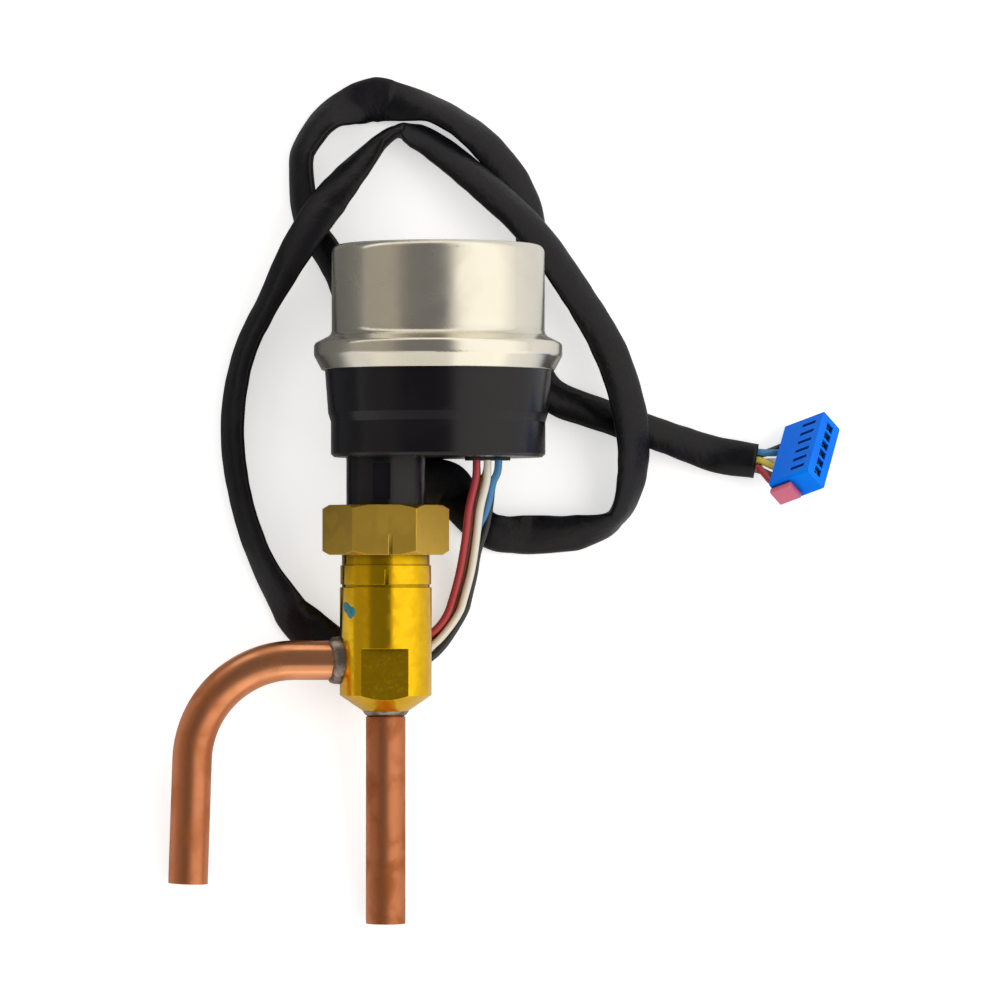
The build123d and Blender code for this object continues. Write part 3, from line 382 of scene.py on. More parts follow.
def effect(tree, name, inputs):
    """Places a shared effect in a material; the group is made the first time."""
    label = "Valve " + name
    group = bpy.data.node_groups.get(label)
    if group is None:
        group = GROUPS[name]()
        group.name = label
    node = tree.nodes.new("ShaderNodeGroup")
    node.node_tree = group
    for key, value in inputs.items():
        if isinstance(value, bpy.types.NodeSocket):
            tree.links.new(value, node.inputs[key])
        else:
            node.inputs[key].default_value = value
    return node.outputs


def rgba(colour, factor=1.0):
    """Colour with full alpha, made lighter or darker."""
    return (*[min(1.0, channel * factor) for channel in colour], 1.0)


def new_material(name, **constants):
    """Material with one Principled shader, whose plain constants are set on its sockets."""
    material = bpy.data.materials.new(name)
    material.use_nodes = True
    shader = material.node_tree.nodes["Principled BSDF"]
    for key, value in constants.items():
        shader.inputs[key.replace("_", " ").title().replace("Ior", "IOR")].default_value = value
    return material, material.node_tree, shader


def on_valve(tree):
    """Object coordinates turned to the valve's own axes, from its side port."""
    place = add(tree, "TexCoord")
    turned = add(tree, "Mapping", {
        "Vector": place.outputs["Object"], "Location": VALVE.translation,
        "Rotation": VALVE.to_euler()}, vector_type="TEXTURE")
    return turned.outputs["Vector"]


def set_bump(tree, shader, height, depth, normal=None):
    """Bump of a given depth in metres, over a softened normal if there is one."""
    inputs = {"Height": height, "Distance": depth, "Strength": 1.0}
    if normal is not None:
        inputs["Normal"] = normal
    bump = add(tree, "Bump", inputs)
    tree.links.new(bump.outputs["Normal"], shader.inputs["Normal"])


DULL_ROUGHNESS = 0.2


def brushed_finish(name, colour, stain, rough, edge=0.00015, lines=9000.0, patches=150.0,
                   amount=0.5, depth=2e-6, marks="turned", shade_distance=0.0015, flats=None, dulled=None):
    """Turned, drawn or cast metal: stained in patches, darkened by painted shade in joints, with tool
    marks.

    flats is the radius inside which faces along Y are milled. dulled is a colour and the
    two places along X between which the metal turns from that colour to its clean one.
    """
    material, tree, shader = new_material(name, metallic=1.0)
    place = on_valve(tree)
    clean, duller = rgba(colour), 0.0
    if dulled is not None:
        dull, start, stop = dulled
        along = add(tree, "SeparateXYZ", {"Vector": place}).outputs["X"]
        duller = ramp(tree, along, start, stop, 1.0, 0.0)
        clean = add(tree, "Mix", {"Factor": duller, "A": rgba(colour), "B": rgba(dull)},
                    data_type="RGBA").outputs["Result"]
    stained = effect(tree, "patches", {
        "Vector": place, "Scale": patches, "Clean": clean, "Stained": rgba(stain),
        "Amount": amount})
    edges = effect(tree, "edges", {"Radius": edge})
    shiny = edges["Mask"]
    if flats is not None:
        milled = effect(tree, "milled", {
            "Vector": place, "Axis": VALVE.to_3x3().col[1], "Radius": flats})
        shiny = add(tree, "Math", {0: shiny, 1: milled["Mask"]}, operation="MAXIMUM").outputs[0]
    bright = add(tree, "Mix", {
        "Factor": shiny, "A": stained["Color"], "B": rgba(colour, 1.1)}, data_type="RGBA")
    # Painted shade: where ambient occlusion finds grooves and joints, the colour falls to the stain at
    # a quarter of its brightness.
    joints = effect(tree, "joints", {"Distance": shade_distance})
    crevice_shaded = add(tree, "Mix", {
        "Factor": joints["Mask"], "A": rgba(stain, 0.25), "B": bright.outputs["Result"]},
        data_type="RGBA")
    tree.links.new(crevice_shaded.outputs["Result"], shader.inputs["Base Color"])
    low, high = rough
    worn = add(tree, "Math", {
        0: duller, 1: DULL_ROUGHNESS, 2: ramp(tree, stained["Mask"], 0.0, amount, low, high)},
        operation="MULTIPLY_ADD")
    tree.links.new(worn.outputs[0], shader.inputs["Roughness"])
    if marks == "turned":
        height = effect(tree, "turned", {"Vector": place, "Lines": lines})["Height"]
    elif marks == "drawn":
        height = effect(tree, "streaks", {"Vector": place})["Mask"]
    else:
        height = effect(tree, "grain", {"Vector": place, "Scale": lines})["Height"]
    set_bump(tree, shader, height, depth, edges["Normal"])
    return material


def moulded_finish(name, colour, rough, grain=5000.0, depth=6e-6, edge=0.00015, worn=1.6,
                   shine=0.5):
    """Moulded plastic or rubber: fine grain, faint clouds, slightly rubbed edges and painted shade in
    joints.
    """
    material, tree, shader = new_material(name, specular_ior_level=shine)
    place = on_valve(tree)
    clouds = effect(tree, "patches", {
        "Vector": place, "Scale": 90.0, "Clean": rgba(colour), "Stained": rgba(colour, 1.35),
        "Amount": 0.7})
    edges = effect(tree, "edges", {"Radius": edge})
    rubbed = add(tree, "Mix", {
        "Factor": edges["Mask"], "A": clouds["Color"], "B": rgba(colour, worn)}, data_type="RGBA")
    # Painted shade: where ambient occlusion finds grooves and joints, the colour falls to 0.3 of its
    # brightness.
    joints = effect(tree, "joints", {})
    crevice_shaded = add(tree, "Mix", {
        "Factor": joints["Mask"], "A": rgba(colour, 0.3), "B": rubbed.outputs["Result"]},
        data_type="RGBA")
    tree.links.new(crevice_shaded.outputs["Result"], shader.inputs["Base Color"])
    low, high = rough
    tree.links.new(ramp(tree, clouds["Mask"], 0.0, 0.7, low, high), shader.inputs["Roughness"])
    skin = effect(tree, "grain", {"Vector": place, "Scale": grain})
    set_bump(tree, shader, skin["Height"], depth, edges["Normal"])
    return material


def finish_nodes(material, *names):
    """Gives CAD nodes their material."""
    for name in names:
        slots = frame["nodes"][name].data.materials
        slots.clear()
        slots.append(material)


def mesh_piece(name, points, faces, material, smooth=True):
    """Mesh object at the origin from arrays of points and faces."""
    mesh = bpy.data.meshes.new(name)
    mesh.from_pydata(np.asarray(points, float).tolist(), [], [list(map(int, f)) for f in faces])
    mesh.materials.append(material)
    mesh.polygons.foreach_set("use_smooth", np.full(len(mesh.polygons), smooth))
    mesh.update()
    piece = bpy.data.objects.new(name, mesh)
    bpy.context.scene.collection.objects.link(piece)
    return piece


def grid_faces(rows, columns):
    """Quads of a grid of rows of points, closed round each row."""
    row, column = np.meshgrid(np.arange(rows - 1), np.arange(columns), indexing="ij")
    following = (column + 1) % columns
    quads = np.stack((
        row * columns + column, row * columns + following,
        (row + 1) * columns + following, (row + 1) * columns + column), axis=-1)
    return quads.reshape(-1, 4)


def route_line(name, points, resolution):
    """Points along the NURBS spline whose control points are the route."""
    curve = bpy.data.curves.new(name, "CURVE")
    curve.dimensions = "3D"
    curve.resolution_u = resolution
    spline = curve.splines.new("NURBS")
    spline.points.add(len(points) - 1)
    spline.points.foreach_set("co", np.column_stack((points, np.ones(len(points)))).ravel())
    spline.order_u = 3
    spline.use_endpoint_u = True
    holder = bpy.data.objects.new(name, curve)
    line = bpy.data.meshes.new_from_object(holder)
    found = np.zeros(len(line.vertices) * 3)
    line.vertices.foreach_get("co", found)
    bpy.data.objects.remove(holder)
    bpy.data.meshes.remove(line)
    bpy.data.curves.remove(curve)
    return found.reshape(-1, 3)


def line_frames(line):
    """Unit tangent, level side and upward normal at each point, and the length so far."""
    tangent = np.gradient(line, axis=0)
    tangent /= np.linalg.norm(tangent, axis=1)[:, None]
    side = np.cross(tangent, (0.0, 0.0, 1.0))
    side /= np.linalg.norm(side, axis=1)[:, None]
    upward = np.cross(side, tangent)
    steps = np.linalg.norm(np.diff(line, axis=0), axis=1)
    return tangent, side, upward, np.concatenate(([0.0], np.cumsum(steps)))


SLEEVE_STEPS = 14
SLEEVE_SIDES = 48
SLEEVE_END = 0.007
SLEEVE_HOLLOW = 0.005
SLEEVE_WALL = 0.0005


def shown_sleeve(sizes):
    """Points and faces of the flattened sleeve, and its middle line.

    The section is an oval with half axes a and b. From the camera it is
    2 sqrt(a^2 cos^2 t + b^2 sin^2 t) wide, so the turn t follows from the width of the
    route; the lean of the camera over the table is added to it. Near the ends the oval
    turns level and takes the width itself. It is moved up or down so that its underside
    stays where the round tube's would be. Low ridges of the leads inside and shallow
    creases show through. At both ends the wall turns in and runs back inside.
    """
    route = np.array(SLEEVE_ROUTE)
    line = route_line("sleeve_line", route[:, :3] + np.array(FOOT), SLEEVE_STEPS)
    tangent, side, upward, run = line_frames(line)
    places = np.clip((np.arange(len(route)) - 0.5) / (len(route) - 2), 0, 1)
    half_seen = np.interp(np.linspace(0, 1, len(line)), places, route[:, 3]) / 2
    end = np.exp(-(np.minimum(run, run[-1] - run) / SLEEVE_END) ** 2)
    half_width = (1 - end) * np.maximum(sizes.sleeve_width / 2, half_seen) + end * half_seen
    half_height = (1 - end) * np.minimum(sizes.sleeve_height / 2, half_seen * 0.98) \
        + end * (sizes.sleeve_round - half_seen)
    level = (half_seen ** 2 - half_height ** 2) / np.maximum(half_width ** 2 - half_height ** 2, 1e-9)
    seen = np.cross(tangent, np.array(VALVE.to_3x3() @ (CAMERA_AIM - CAMERA_PLACE)))
    seen *= np.sign(np.sum(seen * side, axis=1))[:, None]
    lean = np.arctan2(np.sum(seen * upward, axis=1), np.sum(seen * side, axis=1))
    turn = (1 - end) * (lean + np.arccos(np.sqrt(np.clip(level, 0, 1))))
    angle = np.linspace(0, 2 * np.pi, SLEEVE_SIDES, endpoint=False)
    ridges = 1 + 0.02 * np.cos(5 * angle[None, :] + 1.5 * np.sin(run * 31.0)[:, None])
    creases = 0.018 * np.sin(run * 900.0 + 2 * np.sin(run * 170.0))[:, None] \
        * np.cos(2 * angle[None, :] + run[:, None] * 260.0)
    ridges += creases * (1 - end[:, None])
    half_up = np.hypot(half_width * np.sin(turn), half_height * np.cos(turn))
    line = line + (half_up - sizes.sleeve_round / 2)[:, None] * np.array((0.0, 0.0, 1.0))

    def section(shrink, rows):
        wide = (half_width[rows, None] - shrink) * np.cos(angle) * ridges[rows]
        tall = (half_height[rows, None] - shrink) * np.sin(angle) * ridges[rows]
        across = wide * np.cos(turn[rows, None]) - tall * np.sin(turn[rows, None])
        above = wide * np.sin(turn[rows, None]) + tall * np.cos(turn[rows, None])
        return line[rows, None] + across[..., None] * side[rows, None] \
            + above[..., None] * upward[rows, None]

    first = np.searchsorted(run, SLEEVE_HOLLOW)
    last = len(run) - 1 - first
    rings = np.concatenate((
        section(SLEEVE_WALL, np.array([first])), section(SLEEVE_WALL, np.array([0])),
        section(0.0, np.arange(len(run))),
        section(SLEEVE_WALL, np.array([len(run) - 1])), section(SLEEVE_WALL, np.array([last]))))
    points = rings.reshape(-1, 3)
    faces = [tuple(face) for face in grid_faces(len(rings), SLEEVE_SIDES)]
    faces.append(tuple(range(SLEEVE_SIDES - 1, -1, -1)))
    faces.append(tuple(range(len(points) - SLEEVE_SIDES, len(points))))
    return points, faces, line


def sleeve_finish(colours):
    """Soft sleeving: satin black with fine cross wrinkles and faint dust."""
    material, tree, shader = new_material("Soft sleeving", specular_ior_level=0.22)
    place = add(tree, "TexCoord").outputs["Object"]
    dusty = effect(tree, "patches", {
        "Vector": place, "Scale": 120.0, "Clean": rgba(colours.sleeve),
        "Stained": rgba(colours.sleeve, 1.8), "Amount": 0.8})
    tree.links.new(dusty["Color"], shader.inputs["Base Color"])
    tree.links.new(ramp(tree, dusty["Mask"], 0.0, 0.8, 0.3, 0.42), shader.inputs["Roughness"])
    skin = effect(tree, "grain", {"Vector": place, "Scale": 900.0})
    set_bump(tree, shader, skin["Height"], 0.00012)
    return material


def lead_finish(name, colour):
    """Extruded insulation: smooth, with slight handling marks."""
    material, tree, shader = new_material(name)
    place = add(tree, "TexCoord").outputs["Object"]
    marks = effect(tree, "patches", {
        "Vector": place, "Scale": 400.0, "Clean": rgba(colour), "Stained": rgba(colour, 0.72),
        "Amount": 0.6})
    tree.links.new(marks["Color"], shader.inputs["Base Color"])
    tree.links.new(ramp(tree, marks["Mask"], 0.0, 0.6, 0.3, 0.48), shader.inputs["Roughness"])
    skin = effect(tree, "grain", {"Vector": place, "Scale": 2500.0})
    set_bump(tree, shader, skin["Height"], 0.000012)
    return material


def lead_material(name):
    """The finish of one lead, made the first time."""
    return bpy.data.materials.get(name) or lead_finish(name, LEAD_COLOURS[name])


def mouth(end, inward, lane, layer):
    """Place of a lead in an open end of the sleeve, in metres."""
    across = Vector((inward.y, -inward.x, 0)).normalized()
    above = across.cross(inward)
    above = above if above.z > 0 else -above
    return end + across * lane * LANE_PITCH * MM + above * layer * LAYER_PITCH / 2 * MM


class VALVE_OT_sleeve(bpy.types.Operator):
    """Add the flattened sleeve, which ends at the plug"""

    bl_idname = "valve.sleeve"
    bl_label = "Cable sleeve"

    def execute(self, context):
        sizes = context.scene.valve_sizes
        points, faces, line = shown_sleeve(sizes)
        piece = mesh_piece("sleeve", points, faces, sleeve_finish(context.scene.valve_colours))
        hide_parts("cable_sleeve")
        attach(piece, "valve")
        return {"FINISHED"}


class VALVE_OT_leads(bpy.types.Operator):
    """Add the six leads from the grommet to the sleeve"""

    bl_idname = "valve.leads"
    bl_label = "Leads"

    def execute(self, context):
        sizes = context.scene.valve_sizes
        first, second = (Vector(point[:3]) for point in SLEEVE_ROUTE[:2])
        inward = (second - first).normalized()
        for name, route in LEAD_ROUTES.items():
            column, row, lane, layer, length = LEAD_PLACES[name]
            x = LEAD_MIDDLE_X + column * LEAD_PITCH
            lip = HOUSING_LOW - GROMMET_LIP
            start = VALVE @ (Vector((x, LEAD_ROWS_Y[row], lip)) * MM)
            clear = VALVE @ (Vector((x, LEAD_ROWS_Y[row], lip - LEAD_IN)) * MM)
            end = mouth(first, inward, lane, layer) + FOOT
            inside = end + inward * LEAD_INSIDE * MM
            points = [start, clear, *(Vector(point) + FOOT for point in route),
                      end - inward * LEAD_MOUTH * MM, end, inside]
            curve = bpy.data.curves.new(name + "_wire", "CURVE")
            curve.dimensions = "3D"
            curve.resolution_u = 16
            curve.bevel_depth = sizes.lead_diameter / 2
            curve.bevel_resolution = 6
            curve.use_fill_caps = True
            spline = curve.splines.new("NURBS")
            spline.points.add(len(points) - 1)
            for spot, point in zip(spline.points, points):
                spot.co = (*point, 1)
            spline.order_u = 3
            spline.use_endpoint_u = True
            curve.materials.append(lead_material(name))
            piece = bpy.data.objects.new(name + "_wire", curve)
            context.scene.collection.objects.link(piece)
            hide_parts(name)
            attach(piece, "valve")
        return {"FINISHED"}


class VALVE_OT_tails(bpy.types.Operator):
    """Add the short ends of the leads between the sleeve and the plug"""

    bl_idname = "valve.tails"
    bl_label = "Plug tails"

    def execute(self, context):
        radius = context.scene.valve_sizes.lead_diameter / 2 * 0.95
        before, end = (Vector(point[:3]) for point in SLEEVE_ROUTE[-2:])
        onward = (end - before).normalized()
        side = onward.cross(Vector((0, 0, 1))).normalized()
        above = side.cross(onward)
        row, up = Vector(PLUG_ROW).normalized(), Vector(PLUG_UP).normalized()
        rearward = -up.cross(row)
        points, faces, colours = [], [], []
        for way in range(PLUG_WAYS):
            start = end + side * (way // 2 - 1) * TAIL_LANE * MM
            start += above * (1 if way % 2 else -1) * LAYER_PITCH / 2 * MM
            finish = (Vector(PLUG_REAR) + row * (way - (PLUG_WAYS - 1) / 2) * PLUG_PITCH) * MM
            route = [start - onward * TAIL_INSIDE * MM, start, start + onward * TAIL_RUN * MM,
                     finish + rearward * TAIL_RUN * MM, finish - rearward * 2 * MM]
            line = route_line("tail_line", np.array([point + FOOT for point in route]), 8)
            tangent, level, upward, _ = line_frames(line)
            angle = np.linspace(0, 2 * np.pi, 16, endpoint=False)[None, :, None]
            tube = line[:, None] + radius * (
                np.cos(angle) * level[:, None] + np.sin(angle) * upward[:, None])
            base = len(points)
            points.extend(tube.reshape(-1, 3).tolist())
            faces.extend((grid_faces(len(tube), 16) + base).tolist())
            faces.append(list(range(base + 15, base - 1, -1)))
            faces.append(list(range(len(points) - 16, len(points))))
            colours.extend([way] * (len(tube) * 16 - 16 + 2))
        piece = mesh_piece("plug_tails", points, faces, lead_material(TAIL_ORDER[0]))
        for name in TAIL_ORDER[1:]:
            piece.data.materials.append(lead_material(name))
        piece.data.polygons.foreach_set("material_index", np.array(colours, np.int32))
        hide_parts("plug_leads")
        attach(piece, "valve")
        return {"FINISHED"}


class VALVE_OT_brazing(bpy.types.Operator):
    """Add the uneven brazing metal round both tubes"""

    bl_idname = "valve.brazing"
    bl_label = "Brazing"

    def execute(self, context):
        height = context.scene.valve_sizes.braze_height
        material = brushed_finish(
            "Brazing metal", context.scene.valve_colours.braze, (0.16, 0.11, 0.10), (0.3, 0.5),
            patches=700.0, amount=0.8, depth=6e-6, marks="grain", lines=1500.0)
        outlet = braze_fillet(TUBE_R * MM, height * 0.55, height * 0.7, 1.0, 0.25)
        outlet[..., 2] = BODY_FOOT * MM - outlet[..., 2]
        inlet = braze_fillet(TUBE_R * MM, height * 0.73, height * 1.9, 2.4, 0.45)
        drop = BODY_R * MM - np.sqrt((BODY_R * MM) ** 2 - np.clip(inlet[..., 1], -0.0088, 0.0088) ** 2)
        inlet = np.stack((-BODY_R * MM - inlet[..., 2] + drop, inlet[..., 1], inlet[..., 0]), axis=-1)
        for name, rings, node in (("outlet_brazing", outlet, "outlet_braze"),
                                  ("inlet_brazing", inlet, "inlet_braze")):
            points = rings.reshape(-1, 3) @ np.array(VALVE.to_3x3()).T + np.array(VALVE.translation)
            faces = grid_faces(len(rings), rings.shape[1])
            if name == "outlet_brazing":
                faces = faces[:, ::-1]
            piece = mesh_piece(name, points, faces, material)
            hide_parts(node)
            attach(piece, "valve")
        return {"FINISHED"}


def braze_fillet(tube_r, leg, face, seed, bulge):
    """Fillet round a tube on +Z: radius falls from tube plus leg to the tube along an arc.

    The arc is hollow, and the bulge rounds it outward by that share of its legs.

    Both legs swell and shrink with a few waves round the tube, as metal that ran in unevenly.
    The profile closes on itself inside the tube's wall and inside the body.
    """
    around = np.linspace(0, 2 * np.pi, 96, endpoint=False)
    uneven = 1 + 0.08 * np.sin(2 * around + seed) + 0.05 * np.sin(5 * around + 2 * seed) \
        + 0.02 * np.sin(11 * around + 3 * seed)
    arc = np.linspace(0, np.pi / 2, 9)
    swell = bulge * np.sin(2 * arc)
    radius = tube_r + leg * uneven * (1 - np.sin(arc) + swell)[:, None]
    rise = face * uneven * (1 - np.cos(arc) + swell)[:, None]
    inner = np.full((1, 96), tube_r - 0.0002)
    closing = np.concatenate((inner, inner))
    radius = np.concatenate((radius, closing, radius[:1]))
    rise = np.concatenate((rise, rise[-1:], np.full((1, 96), -0.0006), np.full((1, 96), -0.0006)))
    rise = np.concatenate((rise, rise[:1]))
    radius = np.concatenate((radius, radius[:1]))
    return np.stack((radius * np.cos(around), radius * np.sin(around), rise), axis=-1)


class VALVE_OT_dab(bpy.types.Operator):
    """Add the thin dab of inspection paint on the body"""

    bl_idname = "valve.dab"
    bl_label = "Paint dab"

    def execute(self, context):
        size = context.scene.valve_sizes.dab_size
        around = np.linspace(0, 2 * np.pi, 48, endpoint=False)
        share = np.linspace(1, 0.04, 9)[:, None]
        tail = 1.5 * np.clip(np.cos(around - DAB_TAIL_ANGLE), 0, 1) ** 6
        reach = size * (1 + tail + 0.08 * np.sin(3 * around + 1.0) + 0.05 * np.sin(7 * around))
        along = share * reach * np.cos(around)
        height = share * reach * np.sin(around)
        thick = 0.00007 * np.sqrt(1 - share ** 2)
        angle = DAB_ANGLE - along / (BODY_R * MM)
        radius = BODY_R * MM - 0.00001 + thick
        rings = np.stack((-radius * np.sin(angle), -radius * np.cos(angle),
                          DAB_HEIGHT * MM + height), axis=-1)
        points = rings.reshape(-1, 3) @ np.array(VALVE.to_3x3()).T + np.array(VALVE.translation)
        faces = grid_faces(len(rings), 48).tolist()
        faces.append(list(range(len(points) - 48, len(points))))
        colours = context.scene.valve_colours
        material, tree, shader = new_material("Inspection paint")
        place = on_valve(tree)
        thin = effect(tree, "patches", {
            "Vector": place, "Scale": 900.0, "Clean": rgba(colours.paint),
            "Stained": rgba(colours.paint, 1.9), "Amount": 0.8})
        tree.links.new(thin["Color"], shader.inputs["Base Color"])
        tree.links.new(ramp(tree, thin["Mask"], 0.0, 0.8, 0.3, 0.5), shader.inputs["Roughness"])
        piece = mesh_piece("paint_dab", points, faces, material)
        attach(piece, "valve")
        return {"FINISHED"}


DAB_ANGLE = math.radians(48)
DAB_HEIGHT = 9.7
DAB_TAIL_ANGLE = math.radians(150)


class VALVE_OT_metal(bpy.types.Operator):
    """Give the cap, nut, body and tubes their finishes"""

    bl_idname = "valve.metal"
    bl_label = "Outside metal"

    def execute(self, context):
        colours = context.scene.valve_colours
        finish_nodes(brushed_finish(
            "Drawn stainless", colours.steel, (0.66, 0.61, 0.52), (0.2, 0.3),
            patches=60.0, amount=0.4, depth=4e-7, marks="drawn"), "motor_cap")
        finish_nodes(brushed_finish(
            "Dull nut brass", colours.nut, (0.56, 0.36, 0.055), (0.42, 0.55),
            patches=160.0, amount=0.6, depth=2e-6, lines=5000.0, edge=0.0003), "union_nut")
        finish_nodes(brushed_finish(
            "Turned body brass", colours.brass, (0.62, 0.34, 0.008), (0.15, 0.25),
            patches=420.0, amount=0.35, depth=6e-7, lines=9000.0, shade_distance=0.003, flats=0.0089),
            "valve_body")
        finish_nodes(brushed_finish(
            "Dull copper", colours.copper, (0.38, 0.12, 0.035), (0.42, 0.58),
            patches=130.0, amount=0.8, depth=2e-6, marks="grain"), "outlet_tube")
        finish_nodes(brushed_finish(
            "Clean copper", colours.clean_copper, (0.42, 0.13, 0.04), (0.22, 0.34),
            patches=110.0, amount=0.5, depth=2e-6, marks="grain",
            dulled=(colours.copper, -0.042, -0.018)), "inlet_tube")
        return {"FINISHED"}


class VALVE_OT_plastic(bpy.types.Operator):
    """Give the housing, grommet and plug their finishes"""

    bl_idname = "valve.plastic"
    bl_label = "Plastic and rubber"

    def execute(self, context):
        colours = context.scene.valve_colours
        finish_nodes(moulded_finish("Housing plastic", colours.plastic, (0.22, 0.3), depth=2e-6,
                                    shine=0.35), "gear_housing")
        finish_nodes(moulded_finish("Black rubber", (0.02, 0.02, 0.02), (0.6, 0.75), depth=1e-5),
                     "lead_grommet", "neck_seal")
        finish_nodes(moulded_finish("Plug nylon", colours.plug, (0.32, 0.46), worn=1.2, shine=0.06),
                     "plug_housing")
        finish_nodes(moulded_finish("Retainer nylon", colours.retainer, (0.35, 0.5), worn=1.2),
                     "plug_retainer")
        return {"FINISHED"}


class VALVE_OT_inside(bpy.types.Operator):
    """Give the pieces inside the motor and the body their finishes"""

    bl_idname = "valve.inside"
    bl_label = "Inside pieces"

    def execute(self, context):
        for name, colour, stain, nodes in INSIDE_METAL:
            finish_nodes(brushed_finish(name, colour, stain, (0.25, 0.45), amount=0.4), *nodes)
        for name, colour, nodes in INSIDE_MOULDED:
            finish_nodes(moulded_finish(name, colour, (0.4, 0.6)), *nodes)
        return {"FINISHED"}


INSIDE_METAL = (
    ("Plated sheet steel", (0.58, 0.58, 0.56), (0.42, 0.42, 0.4), (
        "gear_plate", "end_plate", "lower_inner_yoke", "lower_outer_yoke", "upper_inner_yoke",
        "upper_outer_yoke")),
    ("Ground steel", (0.62, 0.61, 0.6), (0.45, 0.44, 0.43), (
        "rotor_shaft", "output_pin", "intermediate_pin", "thrust_ball", "needle",
        "return_spring", "bellows_holder", "driver_screw")),
    ("Bellows bronze", (0.62, 0.42, 0.2), (0.45, 0.28, 0.12), ("bellows",)),
    ("Bearing bronze", (0.55, 0.36, 0.16), (0.4, 0.25, 0.1), (
        "lower_bearing", "upper_bearing", "drive_bush")),
    ("Enamelled wire", (0.6, 0.24, 0.08), (0.42, 0.14, 0.04), ("lower_winding", "upper_winding")),
    ("Tinned contact", (0.66, 0.64, 0.6), (0.5, 0.48, 0.44), ("plug_contacts", "terminal_pins")),
)
INSIDE_MOULDED = (
    ("Natural acetal", (0.78, 0.75, 0.66), ("rotor_pinion", "intermediate_gear", "output_gear")),
    ("Bobbin nylon", (0.1, 0.1, 0.1), ("lower_bobbin", "upper_bobbin", "terminal_strip", "rotor_hub")),
    ("Sintered ferrite", (0.05, 0.05, 0.052), ("rotor_magnet",)),
    ("Inner insulation", (0.3, 0.03, 0.03), ("inner_leads",)),
)


FLOOR_GLOW = 0.5
ROOM_LIGHT = (0.66, 0.65, 0.64, 1)

# What a mirror facing the camera would show: angle from the camera in degrees, and colour
ROOM_ACROSS = (
    (-180, (0.30, 0.28, 0.25)), (-92, (0.34, 0.31, 0.27)), (-46, (0.42, 0.38, 0.32)),
    (-36, (0.19, 0.18, 0.17)), (12, (0.17, 0.165, 0.165)), (22, (1.25, 1.2, 1.1)),
    (72, (1.25, 1.2, 1.1)), (90, (0.95, 0.92, 0.85)), (180, (0.85, 0.82, 0.75)),
)
ROOM_ALONG = (
    (-180, (0.7, 0.67, 0.62)), (-110, (1.3, 1.24, 1.12)), (-72, (1.3, 1.24, 1.12)),
    (-60, (0.8, 0.77, 0.7)), (-34, (0.7, 0.67, 0.62)), (-22, (0.0, 0.0, 0.0)),
    (58, (0.0, 0.0, 0.0)), (70, (1.15, 1.1, 1.0)), (100, (1.0, 0.96, 0.88)),
    (130, (0.3, 0.29, 0.27)), (180, (0.3, 0.29, 0.27)),
)


def ramp_line(tree, angle):
    """Angle from -180 to 180 degrees as a value from 0 to 1."""
    node = add(tree, "MapRange", {"Value": angle, "From Min": -math.pi, "From Max": math.pi})
    return node.outputs["Result"]


def set_stops(band, stops):
    """Puts stops of angle and colour on a colour ramp."""
    while len(band.elements) < len(stops):
        band.elements.new(0.5)
    for element, (angle, colour) in zip(band.elements, stops):
        element.position = (angle + 180) / 360
        element.color = (*colour, 1)


def area_lamp(name, place, aim, size, power, colour=(1, 1, 1)):
    """Soft box at a place, facing a point."""
    data = bpy.data.lights.new(name, "AREA")
    data.shape = "RECTANGLE"
    data.size, data.size_y = size
    data.energy = power
    data.color = colour
    lamp = bpy.data.objects.new(name, data)
    lamp.location = place
    lamp.visible_glossy = False
    lamp.rotation_mode = "QUATERNION"
    lamp.rotation_quaternion = (Vector(aim) - Vector(place)).to_track_quat("-Z", "Y")
    bpy.context.scene.collection.objects.link(lamp)
    return lamp


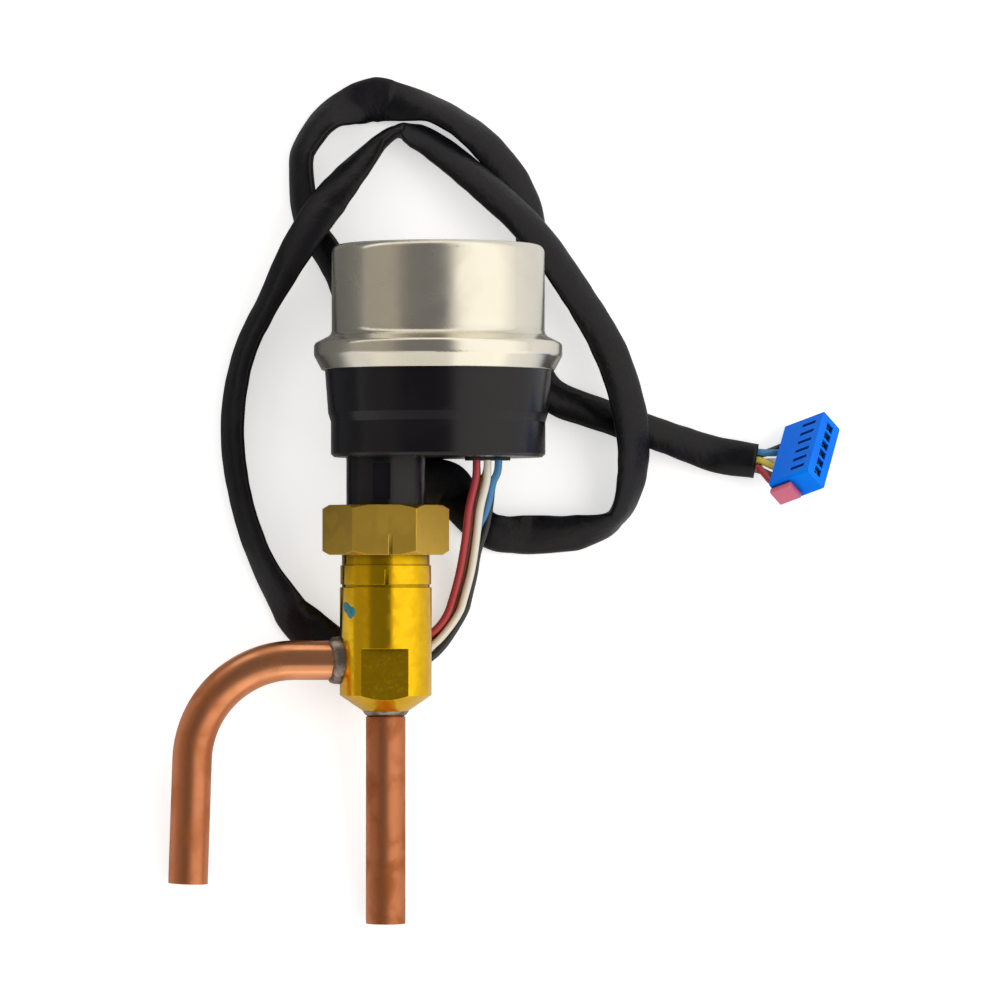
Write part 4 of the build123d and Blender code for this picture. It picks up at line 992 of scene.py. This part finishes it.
class VALVE_OT_stage(bpy.types.Operator):
    """Add the floor, the soft lights, the world and the photograph's camera"""

    bl_idname = "valve.stage"
    bl_label = "Stage"

    def execute(self, context):
        scene = context.scene
        floor_material, tree, shader = new_material("Pale floor", roughness=0.9)
        path = add(tree, "LightPath").outputs
        place = add(tree, "SeparateXYZ", {"Vector": add(tree, "TexCoord").outputs["Object"]})
        # Painted shade: for glossy rays only, the floor's colour falls from 0.85 to 0.16 towards
        # negative x and positive y, so the metal reflects a dark floor there.
        leftward = ramp(tree, place.outputs["X"], 0.03, -0.05)
        upward = ramp(tree, place.outputs["Y"], -0.015, 0.015)
        shaded = add(tree, "Math", {0: leftward, 1: upward}, operation="MULTIPLY")
        mirrored = ramp(tree, shaded.outputs[0], 0.0, 1.0, 0.85, 0.16)
        shade = add(tree, "Mix", {"Factor": path["Is Glossy Ray"], "A": 0.86, "B": mirrored})
        tree.links.new(shade.outputs["Result"], shader.inputs["Base Color"])
        glow = add(tree, "Math", {0: path["Is Camera Ray"], 1: FLOOR_GLOW}, operation="MULTIPLY")
        light = add(tree, "Emission", {"Color": (1, 1, 1, 1), "Strength": glow.outputs[0]})
        both = add(tree, "AddShader", {0: shader.outputs[0], 1: light.outputs[0]})
        tree.links.new(both.outputs[0], tree.nodes["Material Output"].inputs["Surface"])
        reach = 4.0
        points = [(-reach, -reach, 0), (reach, -reach, 0), (reach, reach, 0), (-reach, reach, 0)]
        mesh_piece("floor", points, [(0, 1, 2, 3)], floor_material)

        world = bpy.data.worlds.new("Studio")
        world.use_nodes = True
        scene.world = world
        tree = world.node_tree
        facing = add(tree, "TexCoord").outputs["Generated"]
        right, over, along = (
            add(tree, "VectorMath", {0: facing, 1: tuple(axis)}, operation="DOT_PRODUCT")
            for axis in (VALVE.to_3x3().col[0], -VALVE.to_3x3().col[1], VALVE.to_3x3().col[2]))
        bands = []
        for sideways, stops in ((right, ROOM_ACROSS), (along, ROOM_ALONG)):
            angle = add(tree, "Math", {0: sideways.outputs["Value"], 1: over.outputs["Value"]},
                        operation="ARCTAN2")
            band = add(tree, "ValToRGB", {"Fac": ramp_line(tree, angle.outputs[0])})
            set_stops(band.color_ramp, stops)
            bands.append(band.outputs["Color"])
        mirrored = add(tree, "Mix", {"Factor": 1.0, "A": bands[0], "B": bands[1]},
                       data_type="RGBA", blend_type="LIGHTEN")
        path = add(tree, "LightPath").outputs
        lit = add(tree, "Mix", {
            "Factor": path["Is Glossy Ray"], "A": ROOM_LIGHT, "B": mirrored.outputs["Result"]},
            data_type="RGBA")
        shown = add(tree, "Mix", {
            "Factor": path["Is Camera Ray"], "A": lit.outputs["Result"], "B": (1, 1, 1, 1)},
            data_type="RGBA")
        tree.links.new(shown.outputs["Result"], tree.nodes["Background"].inputs["Color"])

        area_lamp("right_softbox", (0.75, -0.25, 0.75), (0, 0, 0), (0.7, 0.9), 5.0, (1, 0.97, 0.92))
        area_lamp("left_softbox", (-0.8, 0.2, 0.6), (0, 0, 0), (0.5, 0.6), 1.5)

        camera = bpy.data.cameras.new("photo_camera")
        camera.lens = CAMERA_LENS
        camera.sensor_width = CAMERA_SENSOR
        camera.clip_start, camera.clip_end = 0.05, 20.0
        holder = bpy.data.objects.new("photo_camera", camera)
        scene.collection.objects.link(holder)
        ahead = (CAMERA_AIM - CAMERA_PLACE).normalized()
        right = ahead.cross(Vector((0, 0, 1))).normalized()
        pose = Matrix((right, right.cross(ahead), -ahead)).transposed().to_4x4()
        pose.translation = CAMERA_PLACE
        holder.matrix_world = VALVE @ pose
        scene.camera = holder
        scene.view_settings.view_transform = "Standard"
        return {"FINISHED"}



OPERATORS = (
    VALVE_OT_stage, VALVE_OT_tails, VALVE_OT_sleeve, VALVE_OT_leads, VALVE_OT_brazing,
    VALVE_OT_dab, VALVE_OT_metal, VALVE_OT_plastic, VALVE_OT_inside,
)


class VALVE_PT_pieces(bpy.types.Panel):
    """Sizes, colours and pieces of the valve"""

    bl_idname = "VALVE_PT_pieces"
    bl_label = "Expansion valve"
    bl_space_type = "VIEW_3D"
    bl_region_type = "UI"
    bl_category = "Valve"

    def draw(self, context):
        for group in (context.scene.valve_sizes, context.scene.valve_colours):
            column = self.layout.column()
            for name in group.__annotations__:
                column.prop(group, name)
        for operator in OPERATORS:
            self.layout.operator(operator.bl_idname)


CLASSES = (ValveSizes, ValveColours, *OPERATORS, VALVE_PT_pieces)


def register():
    """Registers the classes and puts their settings on the scene."""
    for made in CLASSES:
        bpy.utils.register_class(made)
    bpy.types.Scene.valve_sizes = bpy.props.PointerProperty(type=ValveSizes)
    bpy.types.Scene.valve_colours = bpy.props.PointerProperty(type=ValveColours)


def unregister():
    """Takes the settings and the classes away again."""
    del bpy.types.Scene.valve_colours
    del bpy.types.Scene.valve_sizes
    for made in reversed(CLASSES):
        bpy.utils.unregister_class(made)


def main():
    """Builds every piece in order."""
    register()
    for operator in OPERATORS:
        family, action = operator.bl_idname.split(".")
        getattr(getattr(bpy.ops, family), action)()


if __name__ == "__main__":
    main()
